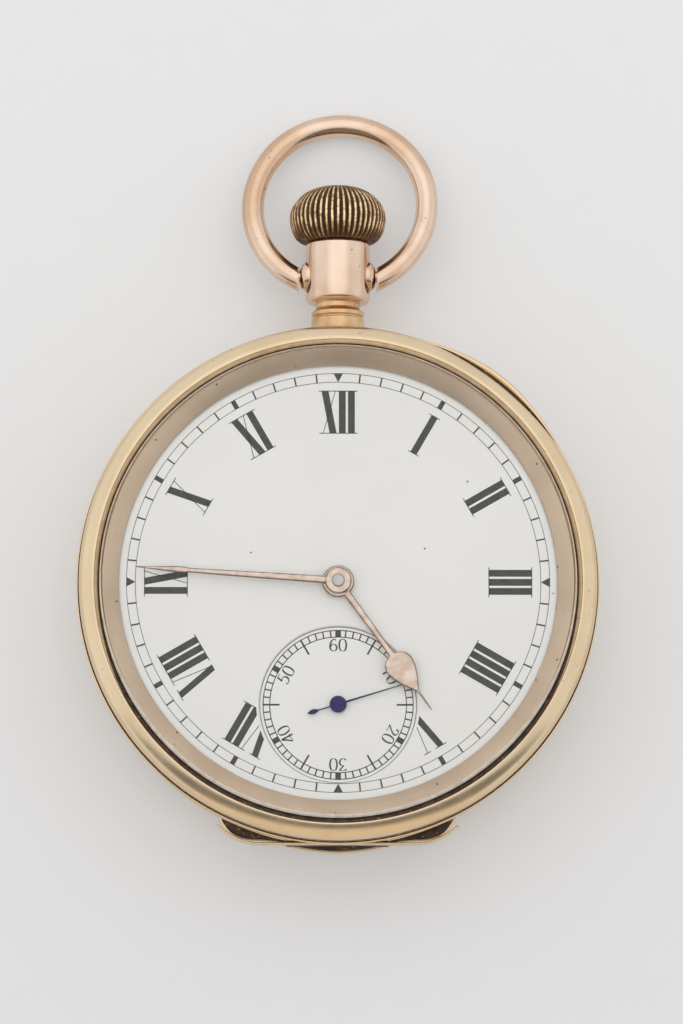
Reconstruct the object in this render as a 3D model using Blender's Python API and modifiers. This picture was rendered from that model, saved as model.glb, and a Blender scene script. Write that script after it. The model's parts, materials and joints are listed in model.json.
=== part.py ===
# Open face pocket watch: a hinged case with a keyless, side-winding lever movement inside.
# It lies on its back: +Z points out of the dial, +Y towards the pendant, +X towards three o'clock.
# The origin is on the hands' axis, on the flat of the back cover. Sizes are in metres.

import math

import bmesh
import bpy

MM = 0.001

# Facets round turned pieces
ROUND_LARGE = 32
ROUND_MID = 20
ROUND_SMALL = 12
TUBE_FACETS = 8
ROUND_PIVOT = 8

# Clearances
SHELL_GAP = 0.10 * MM
PIVOT_GAP = 0.06 * MM
SEAT_GAP = 0.05 * MM
RUN_GAP = 0.20 * MM

# Case shells
CASE_RADIUS = 25.0 * MM
SHELL_STEP = 0.2 * MM
BAND_RADIUS = CASE_RADIUS - 2 * SHELL_STEP
BAND_WALL = 3.0 * MM
BAND_BORE = BAND_RADIUS - BAND_WALL
BAND_HEIGHT = 5.2 * MM
BAND_BELLY = 0.15 * MM
BACK_RADIUS = CASE_RADIUS + SHELL_STEP
BACK_FLAT = 14.0 * MM
BACK_HEIGHT = 2.8 * MM
BACK_WALL = 0.5 * MM
CUVETTE_INSET = 1.8 * MM
CUVETTE_RADIUS = BACK_RADIUS - CUVETTE_INSET
CUVETTE_FLAT = 12.0 * MM
CUVETTE_WALL = 0.35 * MM
CUVETTE_DROP = 0.25 * MM
BEZEL_HEIGHT = 3.1 * MM
BEZEL_LIP = 0.18 * MM
BEZEL_ROUND = 1.5 * MM
BEZEL_CREST = CASE_RADIUS - BEZEL_ROUND
BEZEL_RIM = 0.5 * MM
CRYSTAL_RADIUS = BEZEL_CREST - BEZEL_RIM
CRYSTAL_EDGE = 0.55 * MM
CRYSTAL_WALL = 0.7 * MM
CRYSTAL_RISE = 1.15 * MM
THUMB_LIP_PROUD = 0.75 * MM
THUMB_LIP_AT = math.radians(38.0)
THUMB_LIP_SPAN = math.radians(45.0)
THUMB_LIP_HEIGHT = 0.6 * MM

# Case joint at six o'clock
HINGE_LENGTH = 10.0 * MM
HINGE_PIN = 0.24 * MM
BACK_KNUCKLE = 0.45 * MM
BACK_HINGE_IN = 0.8 * MM
BEZEL_KNUCKLE = 0.5 * MM
BEZEL_HINGE_IN = 0.75 * MM
WING_REACH = 11.5 * MM
WING_PROUD = 1.3 * MM
WING_WALL = 0.35 * MM
WING_HEIGHT = 1.2 * MM
WING_STRAIGHT = 8.6 * MM
WING_CURL = 1.6 * MM

# Pendant, bow and crown
STEM_Z = 5.3 * MM
NECK_RADIUS = 2.42 * MM
NECK_LENGTH = 3.2 * MM
PENDANT_RADIUS = 3.1 * MM
PENDANT_LENGTH = 5.5 * MM
PENDANT_BORE = 1.3 * MM
BOSS_RADIUS = 1.5 * MM
BOSS_PROUD = 0.55 * MM
BOW_WIRE = 1.05 * MM
BOW_HALF_WIDTH = 8.5 * MM
BOW_HEIGHT = 16.4 * MM
BOW_FOOT = 4.35 * MM
BOW_LIFT = 0.05 * MM
BOW_EYE = 0.6 * MM
CROWN_RADIUS = 4.7 * MM
CROWN_HEIGHT = 6.0 * MM
CROWN_FOOT = 3.3 * MM
CROWN_FLUTES = 38
CROWN_FLUTE_DEPTH = 0.3 * MM
CROWN_SLEEVE = 1.0 * MM

# Movement plates
PLATE_RADIUS = BAND_BORE - 1.5 * RUN_GAP
BRIDGE_INSET = 0.5 * MM
BRIDGE_RADIUS = PLATE_RADIUS - BRIDGE_INSET
BRIDGE_LOW = 2.3 * MM
BRIDGE_WALL = 1.2 * MM
BRIDGE_SPLIT = 0.6 * MM
TRAIN_SPACE = 3.2 * MM
PLATE_WALL = 1.6 * MM
PLATE_LEDGE = 0.6 * MM
PLATE_FLANGE = BAND_BORE + PLATE_LEDGE
PLATE_FLANGE_WALL = 0.45 * MM
FOOT_RADIUS = 1.5 * MM

# Dial side
MOTION_SPACE = 0.7 * MM
DIAL_RADIUS = BAND_BORE
DIAL_WALL = 0.6 * MM
DIAL_COVERED = 0.6 * MM
BEZEL_LIP_RADIUS = DIAL_RADIUS - DIAL_COVERED
DIAL_FOOT = 0.6 * MM
DIAL_FOOT_IN = 3.3 * MM
DIAL_FOOT_RADIUS = DIAL_RADIUS - DIAL_FOOT_IN
SECONDS_DROP = 11.85 * MM
SECONDS_DIAL = 7.45 * MM
SECONDS_SUNK = 0.3 * MM
SECONDS_WALL = 0.25 * MM

# Hands, as set at about fourteen minutes to five
HAND_WALL = 0.16 * MM
HOUR_AT = math.radians(144.2)
HOUR_REACH = 15.3 * MM
HOUR_SPADE = 1.4 * MM
HOUR_BOSS = 1.53 * MM
MINUTE_AT = math.radians(273.9)
MINUTE_REACH = 19.5 * MM
MINUTE_BOSS = 1.15 * MM
SECOND_AT = math.radians(72.9)
SECOND_REACH = 6.5 * MM
SECOND_TAIL = 3.1 * MM
SECOND_BOSS = 0.81 * MM
HAND_STEM = 0.26 * MM

# Going train: modules, and teeth or leaves
BARREL_MODULE = 0.30 * MM
BARREL_TEETH = 60
CENTRE_LEAVES = 10
CENTRE_MODULE = 0.29 * MM
CENTRE_TEETH = 48
THIRD_LEAVES = 6
THIRD_MODULE = 0.26 * MM
THIRD_TEETH = 45
FOURTH_LEAVES = 6
FOURTH_MODULE = 0.18 * MM
FOURTH_TEETH = 60
ESCAPE_LEAVES = 6
ESCAPE_TEETH = 15
ESCAPE_RADIUS = 2.75 * MM
MOTION_MODULE = 0.22 * MM
CANNON_LEAVES = 10
MINUTE_TEETH = 30
MINUTE_LEAVES = 8
HOUR_TEETH = 32
SETTING_TEETH = 21
WINDING_MODULE = 0.33 * MM
WINDING_LEAVES = 15
CROWN_TEETH = 26
RATCHET_TEETH = 45
WHEEL_WALL = 0.3 * MM
ARBOR = 0.5 * MM
PIVOT = 0.25 * MM

# Places of the train's axes
BARREL_AT = math.radians(35.0)
ESCAPE_AT = math.radians(150.0)
BALANCE_RADIUS = 6.3 * MM
BALANCE_RIM = 0.6 * MM
BALANCE_WALL = 0.7 * MM
LEVER_LENGTH = 4.0 * MM
BALANCE_AT = math.radians(202.7)
BALANCE_OUT = 13.2 * MM

# Levels of the wheels above the bridges' inner face
THIRD_WHEEL_UP = 0.15 * MM
BARREL_UP = 0.65 * MM
BARREL_TALL = 1.7 * MM
FOURTH_WHEEL_UP = 1.4 * MM
ESCAPE_WHEEL_UP = 2.0 * MM
CENTRE_WHEEL_UP = 2.65 * MM
BALANCE_UP = 0.25 * MM
PALLET_COCK_UP = 1.15 * MM

# Levels that follow from the values above
BAND_LOW = BACK_HEIGHT + SHELL_GAP
BAND_TOP = BAND_LOW + BAND_HEIGHT
BEZEL_LOW = BAND_TOP + SHELL_GAP
BEZEL_TOP = BEZEL_LOW + BEZEL_HEIGHT
BRIDGE_TOP = BRIDGE_LOW + BRIDGE_WALL
PLATE_LOW = BRIDGE_TOP + TRAIN_SPACE
PLATE_TOP = PLATE_LOW + PLATE_WALL
DIAL_LOW = PLATE_TOP + MOTION_SPACE
DIAL_TOP = DIAL_LOW + DIAL_WALL

# Empty the scene, then make one collection for the pieces and one for the cutters
for old in list(bpy.data.objects):
    bpy.data.objects.remove(old, do_unlink=True)
pieces = bpy.data.collections.new("open_face_pocket_watch")
cutters = bpy.data.collections.new("cutters")
for group in (pieces, cutters):
    bpy.context.scene.collection.children.link(group)


def finish(name, colour, roughness, metallic):
    material = bpy.data.materials.new(name)
    material.use_nodes = True
    shader = material.node_tree.nodes["Principled BSDF"]
    shader.inputs["Base Color"].default_value = (*colour, 1.0)
    shader.inputs["Roughness"].default_value = roughness
    shader.inputs["Metallic"].default_value = metallic
    return material


gold = finish("yellow_gold", (0.75, 0.58, 0.36), 0.22, 1.0)
rose_gold = finish("rose_gold", (0.78, 0.52, 0.36), 0.2, 1.0)
worn_brass = finish("worn_brass", (0.32, 0.21, 0.11), 0.4, 1.0)
gilt = finish("gilt_brass", (0.80, 0.62, 0.30), 0.35, 1.0)
steel = finish("steel", (0.62, 0.62, 0.64), 0.25, 1.0)
blued = finish("blued_steel", (0.02, 0.03, 0.16), 0.25, 1.0)
enamel = finish("white_enamel", (0.80, 0.79, 0.76), 0.15, 0.0)
glass = finish("crystal_glass", (0.95, 0.96, 0.96), 0.03, 0.0)
ruby = finish("ruby", (0.45, 0.02, 0.06), 0.1, 0.0)


def add(name, mesh, material):
    item = bpy.data.objects.new(name, mesh)
    pieces.objects.link(item)
    mesh.materials.append(material)
    return item


def turned(name, profile, material, at=(0.0, 0.0), steps=ROUND_LARGE, ring=False):
    # A profile of (radius, height) turned about +Z; it runs from the top down the outer side
    mesh = bpy.data.meshes.new(name)
    count = len(profile)
    edges = [(i, i + 1) for i in range(count - 1)]
    if ring:
        edges.append((count - 1, 0))
    mesh.from_pydata([(radius, 0.0, height) for radius, height in profile], edges, [])
    item = add(name, mesh, material)
    item.location = (at[0], at[1], 0.0)
    screw = item.modifiers.new("Turn", "SCREW")
    screw.steps = steps
    screw.render_steps = steps
    screw.use_smooth_shade = True
    screw.use_merge_vertices = True
    screw.merge_threshold = 0.001 * MM
    return item


def rod(name, spans, material, at=(0.0, 0.0), steps=ROUND_SMALL):
    # A stepped round bar: spans of (radius, bottom, top) from the lowest up
    profile = []
    for radius, bottom, top in reversed(spans):
        profile += [(radius, top), (radius, bottom)]
    profile = [(0.0, profile[0][1])] + profile + [(0.0, profile[-1][1])]
    return turned(name, profile, material, at, steps)


def ring_of(name, bore, radius, bottom, top, material, at=(0.0, 0.0), steps=ROUND_MID):
    profile = [(radius, top), (radius, bottom), (bore, bottom), (bore, top)]
    return turned(name, profile, material, at, steps, ring=True)


def prism(name, loops, bottom, top, material, at=(0.0, 0.0)):
    # A flat outline with any holes, filled in millimetres so that fine teeth stay apart
    curve = bpy.data.curves.new(name, "CURVE")
    curve.dimensions = "2D"
    curve.fill_mode = "BOTH"
    curve.extrude = (top - bottom) / MM / 2
    for loop in loops:
        spline = curve.splines.new("POLY")
        spline.points.add(len(loop) - 1)
        for point, (x, y) in zip(spline.points, loop):
            point.co = (x / MM, y / MM, 0.0, 1.0)
        spline.use_cyclic_u = True
    guide = bpy.data.objects.new(name, curve)
    cutters.objects.link(guide)
    bpy.context.view_layer.update()
    graph = bpy.context.evaluated_depsgraph_get()
    mesh = bpy.data.meshes.new_from_object(guide.evaluated_get(graph))
    bpy.data.objects.remove(guide)
    bpy.data.curves.remove(curve)
    form = bmesh.new()
    form.from_mesh(mesh)
    bmesh.ops.remove_doubles(form, verts=form.verts, dist=0.0005)
    bmesh.ops.scale(form, vec=(MM, MM, MM), verts=form.verts)
    bmesh.ops.translate(form, vec=(0.0, 0.0, (bottom + top) / 2), verts=form.verts)
    bmesh.ops.recalc_face_normals(form, faces=form.faces)
    form.to_mesh(mesh)
    form.free()
    mesh.name = name
    item = add(name, mesh, material)
    item.location = (at[0], at[1], 0.0)
    return item


def block(name, low, high, material):
    mesh = bpy.data.meshes.new(name)
    form = bmesh.new()
    bmesh.ops.create_cube(form, size=1.0)
    size = [b - a for a, b in zip(low, high)]
    middle = [(a + b) / 2 for a, b in zip(low, high)]
    bmesh.ops.scale(form, vec=size, verts=form.verts)
    bmesh.ops.translate(form, vec=middle, verts=form.verts)
    form.to_mesh(mesh)
    form.free()
    return add(name, mesh, material)


def combine(item, tool, operation):
    boolean = item.modifiers.new(tool.name, "BOOLEAN")
    boolean.operation = operation
    boolean.solver = "EXACT"
    boolean.object = tool
    tool.hide_render = True
    tool.display_type = "WIRE"
    pieces.objects.unlink(tool)
    cutters.objects.link(tool)


def cut(item, tool):
    combine(item, tool, "DIFFERENCE")


def join(item, tool):
    combine(item, tool, "UNION")


def circle(radius, at=(0.0, 0.0), steps=ROUND_SMALL, turn=0.0):
    return arc(radius, turn, turn + math.tau * (1 - 1 / steps), steps - 1, at)


def arc(radius, start, end, steps, at=(0.0, 0.0)):
    angles = [start + (end - start) * i / steps for i in range(steps + 1)]
    return [(at[0] + radius * math.cos(a), at[1] + radius * math.sin(a)) for a in angles]


def toothed(teeth, corners, turn):
    # A tooth's corners are (radius, share): the share is an offset in pitches from its middle
    pitch = math.tau / teeth
    return [polar(radius, turn + (i + share) * pitch) for i in range(teeth) for radius, share in corners]


def wheel_outline(teeth, module, turn):
    # Pointed teeth on a wheel
    radius = teeth * module / 2
    root = radius - 1.9 * module
    return toothed(teeth, ((root, -0.5), (radius + 0.85 * module, 0.0)), turn)


def pinion_outline(leaves, module, turn):
    # Narrow leaves on a pinion
    radius = leaves * module / 2
    root = radius - 1.15 * module
    tip = radius + 0.5 * module
    return toothed(leaves, ((root, -0.26), (tip, 0.0), (root, 0.26)), turn)


def windows(spokes, inner, outer, half_width, turn):
    # Openings between a wheel's spokes, as holes in its outline
    loops = []
    for i in range(spokes):
        low = turn + math.tau * i / spokes
        high = low + math.tau / spokes
        lean_in = math.asin(half_width / inner)
        lean_out = math.asin(half_width / outer)
        inside = arc(inner, low + lean_in, high - lean_in, 1)
        outside = arc(outer, low + lean_out, high - lean_out, 3)
        loops.append(inside + outside[::-1])
    return loops


def polar(radius, angle, base=(0.0, 0.0)):
    return (base[0] + radius * math.cos(angle), base[1] + radius * math.sin(angle))


def heading(start, end):
    return math.atan2(end[1] - start[1], end[0] - start[0])


def spot(start, end, share):
    return tuple(a + (b - a) * share for a, b in zip(start, end))


def capsule(start, end, start_radius, end_radius, steps=8):
    # Outline round two circles, joined by straight sides
    angle = heading(start, end)
    reach = math.dist(start, end)
    lean = math.acos((start_radius - end_radius) / reach)
    far = arc(end_radius, angle - lean, angle + lean, steps, end)
    near = arc(start_radius, angle + lean, angle - lean + math.tau, steps, start)
    return far + near


def carry(axis_name, place, items):
    # An empty on a joint's axis carries the pieces that turn or slide there
    empty = bpy.data.objects.new(axis_name, None)
    pieces.objects.link(empty)
    empty.location = place
    for item in items:
        item.location = [a - b for a, b in zip(item.location, place)]
        item.parent = empty


# Case band: the middle of the case, with a ledge that the movement's flange rests on
LEDGE_Z = PLATE_TOP - PLATE_FLANGE_WALL - SEAT_GAP
LEDGE_RADIUS = PLATE_FLANGE + RUN_GAP
BAND_MID = (BAND_LOW + BAND_TOP) / 2
case_band = turned("case_band", [
    (BAND_RADIUS, BAND_TOP),
    (BAND_RADIUS + BAND_BELLY, BAND_MID + BAND_HEIGHT / 4),
    (BAND_RADIUS + BAND_BELLY, BAND_MID - BAND_HEIGHT / 4),
    (BAND_RADIUS, BAND_LOW),
    (BAND_BORE, BAND_LOW),
    (BAND_BORE, LEDGE_Z),
    (LEDGE_RADIUS, LEDGE_Z),
    (LEDGE_RADIUS, BAND_TOP)], gold, ring=True)

# Back cover: a shallow dome with a flat to lie on
back_outer = [(BACK_RADIUS, BACK_HEIGHT), (BACK_RADIUS, 0.8 * BACK_HEIGHT)]
BACK_BULGE = 4
for i in range(1, BACK_BULGE + 1):
    swing = math.pi / 2 * i / BACK_BULGE
    back_outer.append((BACK_FLAT + (BACK_RADIUS - BACK_FLAT) * math.cos(swing) ** 0.7,
                       0.8 * BACK_HEIGHT * (1 - math.sin(swing))))
back_outer[-1] = (BACK_FLAT, 0.0)
back_inner = [(BACK_FLAT, BACK_WALL)]
for radius, height in back_outer[-2:1:-1]:
    back_inner.append((radius - 0.7 * BACK_WALL, height + 0.8 * BACK_WALL))
back_inner.append((BACK_RADIUS - BACK_WALL, BACK_HEIGHT))
back_cover = turned("back_cover", [(0.0, BACK_WALL)] + back_inner + back_outer + [(0.0, 0.0)], gold)

# Cuvette: the inner dust cover under the back
CUVETTE_LOW = BACK_WALL + CUVETTE_DROP
CUVETTE_TOP = BACK_HEIGHT - SEAT_GAP
cuvette_outer = [(CUVETTE_RADIUS, CUVETTE_TOP)]
CUVETTE_BULGE = 3
for i in range(CUVETTE_BULGE + 1):
    swing = math.pi / 2 * i / CUVETTE_BULGE
    cuvette_outer.append((CUVETTE_FLAT + (CUVETTE_RADIUS - CUVETTE_FLAT) * math.cos(swing) ** 0.7,
                          CUVETTE_LOW + (0.88 * CUVETTE_TOP - CUVETTE_LOW) * (1 - math.sin(swing))))
cuvette_outer[-1] = (CUVETTE_FLAT, CUVETTE_LOW)
cuvette_inner = [(CUVETTE_FLAT, CUVETTE_LOW + CUVETTE_WALL)]
for radius, height in cuvette_outer[-2:1:-1]:
    cuvette_inner.append((radius - 0.5 * CUVETTE_WALL, height + 0.85 * CUVETTE_WALL))
cuvette_inner.append((CUVETTE_RADIUS - CUVETTE_WALL, CUVETTE_TOP))
cuvette = turned("cuvette", [(0.0, CUVETTE_LOW + CUVETTE_WALL)] + cuvette_inner + cuvette_outer
                 + [(0.0, CUVETTE_LOW)], gold)

# Bezel: a broad convex ring outside, a sloping inner ring down to the dial, and the crystal's seat
LIP_Z = DIAL_TOP + 0.6 * RUN_GAP
SEAT_Z = BEZEL_TOP - 0.65 * MM
SEAT_RADIUS = CRYSTAL_RADIUS + SEAT_GAP
UNDER_RADIUS = PLATE_FLANGE + 2 * RUN_GAP
SLOPE_TOP = CRYSTAL_RADIUS - CRYSTAL_EDGE
bezel_profile = [(BEZEL_CREST, BEZEL_TOP)]
BEZEL_BULGE = 4
CREST_DROP = 0.55
for i in range(1, BEZEL_BULGE + 1):
    swing = math.pi / 2 * i / BEZEL_BULGE
    bezel_profile.append((BEZEL_CREST + (CASE_RADIUS - BEZEL_CREST) * math.sin(swing),
                          BEZEL_TOP - CREST_DROP * BEZEL_HEIGHT * (1 - math.cos(swing))))
bezel_profile += [
    (CASE_RADIUS - BEZEL_LIP, BEZEL_LOW),
    (UNDER_RADIUS, BEZEL_LOW),
    (UNDER_RADIUS, LIP_Z),
    (BEZEL_LIP_RADIUS, LIP_Z),
    (BEZEL_LIP_RADIUS, LIP_Z + BEZEL_LIP),
    (SLOPE_TOP, SEAT_Z - SEAT_GAP),
    (SLOPE_TOP, SEAT_Z),
    (SEAT_RADIUS, SEAT_Z),
    (SEAT_RADIUS, BEZEL_TOP - BEZEL_LIP)]
bezel = turned("bezel", bezel_profile, gold, ring=True)

# Thumb lip on the bezel's lower edge, where a nail lifts it
lip_loop = []
LIP_POINTS = 10
for i in range(LIP_POINTS + 1):
    share = i / LIP_POINTS
    angle = math.pi / 2 - THUMB_LIP_AT + THUMB_LIP_SPAN * (0.5 - share)
    lip_loop.append(polar(CASE_RADIUS + THUMB_LIP_PROUD * math.sin(math.pi * share) ** 2, angle))
lip_ends = (math.pi / 2 - THUMB_LIP_AT - THUMB_LIP_SPAN / 2, math.pi / 2 - THUMB_LIP_AT + THUMB_LIP_SPAN / 2)
lip_loop += arc(CASE_RADIUS - BEZEL_RIM, lip_ends[0], lip_ends[1], 8)
join(bezel, prism("thumb_lip", [lip_loop], BEZEL_LOW + SEAT_GAP, BEZEL_LOW + THUMB_LIP_HEIGHT, gold))

# Crystal: a low domed glass that lies on the bezel's seat
CRYSTAL_LOW = SEAT_Z + SEAT_GAP
crystal_outer = [(CRYSTAL_RADIUS, CRYSTAL_LOW + CRYSTAL_EDGE), (CRYSTAL_RADIUS, CRYSTAL_LOW)]
CRYSTAL_RINGS = 3
CRYSTAL_CROWN = CRYSTAL_LOW + CRYSTAL_RISE
crystal_top = [(0.0, CRYSTAL_CROWN + CRYSTAL_WALL)]
crystal_under = []
for i in range(1, CRYSTAL_RINGS):
    share = i / CRYSTAL_RINGS
    fall = CRYSTAL_RISE * share ** 2.5
    crystal_top.append((CRYSTAL_RADIUS * share, CRYSTAL_CROWN + CRYSTAL_WALL - fall))
    crystal_under.append((CRYSTAL_RADIUS * share, CRYSTAL_CROWN - fall))
crystal_edge = [(CRYSTAL_RADIUS - CRYSTAL_EDGE, CRYSTAL_LOW)]
crystal = turned("crystal", crystal_top + crystal_outer + crystal_edge + crystal_under[::-1]
                 + [(0.0, CRYSTAL_CROWN)], glass)


def along_x(item, place):
    item.rotation_euler = (0.0, math.pi / 2, 0.0)
    item.location = place


def along_y(item, place):
    item.rotation_euler = (-math.pi / 2, 0.0, 0.0)
    item.location = place


def knuckles(prefix, owners, radius, place, webs):
    # Interleaved hinge tubes along X; each owner gets its tubes and a web to each
    width = HINGE_LENGTH / len(owners)
    for i, owner in enumerate(owners):
        middle = (i - (len(owners) - 1) / 2) * width
        half = width / 2 - SHELL_GAP / 2
        low, high = webs[owner.name]
        join(owner, block(f"{prefix}_web_{i}", (middle - half, *low), (middle + half, *high), gold))
        tube = ring_of(f"{prefix}_tube_{i}", HINGE_PIN + PIVOT_GAP, radius, -half, half, gold,
                       steps=TUBE_FACETS)
        along_x(tube, (middle, *place))
        join(owner, tube)
    pin = rod(f"{prefix}_pin", [(HINGE_PIN, -HINGE_LENGTH / 2, HINGE_LENGTH / 2)], steel)
    along_x(pin, (0.0, *place))
    return pin


# Back and cuvette turn on one pin at six o'clock, inside the back's rim.
# The band is slotted where the rim sweeps
BACK_HINGE = (-(BACK_RADIUS - BACK_HINGE_IN), (BACK_HEIGHT + BAND_LOW) / 2)
BACK_KNUCKLES = 7
knuckle_width = HINGE_LENGTH / BACK_KNUCKLES
hinge_bore = HINGE_PIN + PIVOT_GAP
sweep_half = math.sqrt(BACK_RADIUS ** 2 - BACK_HINGE[0] ** 2) + RUN_GAP
back_slot_wall = BACK_HINGE[0] + BACK_KNUCKLE + SHELL_GAP
cut(case_band, block("back_hinge_slot", (-sweep_half, -2 * BAND_RADIUS, 0.0),
                     (sweep_half, back_slot_wall, BACK_HINGE[1] + BACK_HINGE_IN + RUN_GAP), gold))
tab_low = CUVETTE_TOP - 0.5 * MM
cut(back_cover, block("cuvette_notch", (-1.5 * knuckle_width, BACK_HINGE[0], tab_low - RUN_GAP),
                      (1.5 * knuckle_width, -CUVETTE_RADIUS, 2 * BACK_HEIGHT), gold))
for i, (low, high) in enumerate(((-3.5, -2.5), (-1.5, 1.5), (2.5, 3.5))):
    room = rod(f"knuckle_room_{i}", [(BACK_KNUCKLE + SHELL_GAP, low * knuckle_width - SHELL_GAP / 2,
                                      high * knuckle_width + SHELL_GAP / 2)], gold, steps=TUBE_FACETS)
    along_x(room, (0.0, *BACK_HINGE))
    cut(back_cover, room)
back_web = (BACK_KNUCKLE + hinge_bore) / 2
back_web_y = BACK_HINGE[0] + back_web
back_hinge_pin = knuckles(
    "back_hinge",
    [case_band, back_cover, cuvette, case_band, cuvette, back_cover, case_band],
    BACK_KNUCKLE, BACK_HINGE, {
        "case_band": ((back_web_y, BAND_LOW + SEAT_GAP),
                      (back_slot_wall + back_web, BACK_HINGE[1] + BACK_KNUCKLE)),
        "back_cover": ((BACK_HINGE[0] - BACK_KNUCKLE, BACK_HINGE[1] - BACK_KNUCKLE),
                       (BACK_HINGE[0], BACK_HINGE[1] - hinge_bore)),
        "cuvette": ((back_web_y, tab_low), (-(CUVETTE_RADIUS - 0.7 * CUVETTE_WALL), CUVETTE_TOP))})
pin_room = rod("back_pin_room", [(hinge_bore, -HINGE_LENGTH / 2, HINGE_LENGTH / 2)], gold, steps=TUBE_FACETS)
along_x(pin_room, (0.0, *BACK_HINGE))
cut(back_cover, pin_room)

# The bezel turns on its own pin, in a slot along the band's top edge
BEZEL_HINGE = (-(CASE_RADIUS - BEZEL_HINGE_IN), BEZEL_LOW - BEZEL_KNUCKLE - SHELL_GAP)
slot_wall = -(BEZEL_HINGE[0] + BEZEL_KNUCKLE + SHELL_GAP)
slot = block("bezel_hinge_slot",
             (-HINGE_LENGTH / 2 - SHELL_GAP, -2 * BAND_RADIUS, BEZEL_HINGE[1] - BEZEL_KNUCKLE - SHELL_GAP),
             (HINGE_LENGTH / 2 + SHELL_GAP, -slot_wall, 2 * BAND_TOP), gold)
cut(case_band, slot)
web_half = 0.7 * BEZEL_KNUCKLE
bezel_web = (BEZEL_KNUCKLE + hinge_bore) / 2
bezel_hinge_pin = knuckles(
    "bezel_hinge", [case_band, bezel, case_band, bezel, case_band],
    BEZEL_KNUCKLE, BEZEL_HINGE, {
        "case_band": ((BEZEL_HINGE[0] - web_half, BEZEL_HINGE[1] - 1.6 * BEZEL_KNUCKLE),
                      (-slot_wall + web_half, BEZEL_HINGE[1] - bezel_web)),
        "bezel": ((BEZEL_HINGE[0] - SEAT_GAP, BEZEL_HINGE[1] + bezel_web),
                  (BEZEL_HINGE[0] + web_half, BEZEL_LOW + BEZEL_LIP))})


# A thin leaf runs along the band in front of the joint, straight in the middle and curled in at its tips
leaf_face = BAND_RADIUS + BAND_BELLY + 0.8 * WING_WALL
leaf_outer = []
leaf_inner = []
LEAF_STEPS = 3
for side, shares in ((-1, range(LEAF_STEPS, -1, -1)), (1, range(LEAF_STEPS + 1))):
    for i in shares:
        across = WING_STRAIGHT + (WING_REACH - WING_STRAIGHT) * i / LEAF_STEPS
        curl = WING_CURL * (i / LEAF_STEPS) ** 2
        leaf_outer.append((side * across, curl - leaf_face))
        leaf_inner.append((side * across, curl - leaf_face + WING_WALL))
LEAF_TOP = BEZEL_HINGE[1] - BEZEL_KNUCKLE - RUN_GAP
join(case_band, prism("band_leaf", [leaf_outer + leaf_inner[::-1]], LEAF_TOP - WING_HEIGHT, LEAF_TOP, gold))


def wing(name, side, start_radius, bottom, top):
    # A thin leaf that leaves the back's rim as a tangent and curls in at its tip
    outer = []
    inner = []
    steps = 6
    first = math.asin(HINGE_LENGTH / 2 / start_radius)
    last = math.asin(WING_REACH / (start_radius + WING_WALL))
    for i in range(steps + 1):
        share = i / steps
        lift = (BAND_RADIUS + WING_PROUD - start_radius) * math.sin(math.pi / 2 * min(1.0, 1.6 * share))
        curl = WING_WALL * max(0.0, share - 0.7)
        angle = first + (last - first) * share
        radius = start_radius + lift - curl
        thin = WING_WALL * (1 - 0.4 * share)
        outer.append((side * radius * math.sin(angle), -radius * math.cos(angle)))
        inner.append((side * (radius - thin) * math.sin(angle), -(radius - thin) * math.cos(angle)))
    return prism(name, [outer + inner[::-1]], bottom, top, gold)


for side_name, side in (("left", -1), ("right", 1)):
    join(back_cover, wing(f"back_wing_{side_name}", side, BACK_RADIUS + 0.3 * WING_WALL,
                          BACK_HEIGHT - 0.7 * WING_HEIGHT, BACK_HEIGHT - SEAT_GAP))

# Pendant: a ringed neck and a barrel, bored for the stem, with a boss each side for the bow
PENDANT_Y = BAND_RADIUS + BAND_BELLY + SEAT_GAP
BARREL_Y = PENDANT_Y + NECK_LENGTH
PENDANT_TOP = BARREL_Y + PENDANT_LENGTH
BOW_Y = BARREL_Y + 0.48 * PENDANT_LENGTH
NECK_RING = 0.3 * MM
pendant_edge = 0.35 * MM
pendant_profile = [
    (PENDANT_RADIUS - pendant_edge, PENDANT_TOP),
    (PENDANT_RADIUS, PENDANT_TOP - pendant_edge),
    (PENDANT_RADIUS, BARREL_Y + pendant_edge),
    (PENDANT_RADIUS - pendant_edge, BARREL_Y)]
NECK_RINGS = 2
for i in range(NECK_RINGS):
    upper = BARREL_Y - NECK_LENGTH * i / NECK_RINGS
    step = NECK_LENGTH / NECK_RINGS
    pendant_profile += [(NECK_RADIUS - NECK_RING, upper - 0.15 * step),
                        (NECK_RADIUS - NECK_RING, upper - 0.4 * step),
                        (NECK_RADIUS, upper - 0.55 * step), (NECK_RADIUS, upper - 0.9 * step)]
pendant_profile[-1] = (NECK_RADIUS, PENDANT_Y)
pendant_profile += [(PENDANT_BORE, PENDANT_Y), (PENDANT_BORE, PENDANT_TOP)]
pendant = turned("pendant", pendant_profile, rose_gold, steps=ROUND_MID, ring=True)
along_y(pendant, (0.0, 0.0, STEM_Z))
BOSS_END = PENDANT_RADIUS + BOSS_PROUD
BOW_SOCKET = PENDANT_BORE + 0.6 * MM
for side_name, side in (("left", -1), ("right", 1)):
    boss = rod(f"bow_boss_{side_name}", [(BOSS_RADIUS, BOW_SOCKET, BOSS_END - 0.3 * BOSS_PROUD),
                                         (0.75 * BOSS_RADIUS, BOSS_END - 0.3 * BOSS_PROUD, BOSS_END)],
               rose_gold)
    along_x(boss, (0.0, BOW_Y, STEM_Z))
    boss.rotation_euler = (0.0, side * math.pi / 2, 0.0)
    join(pendant, boss)
bow_eye = rod("bow_eye", [(BOW_EYE + PIVOT_GAP, -2 * BOSS_END, 2 * BOSS_END)], rose_gold)
along_x(bow_eye, (0.0, BOW_Y, STEM_Z))
cut(pendant, bow_eye)

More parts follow.
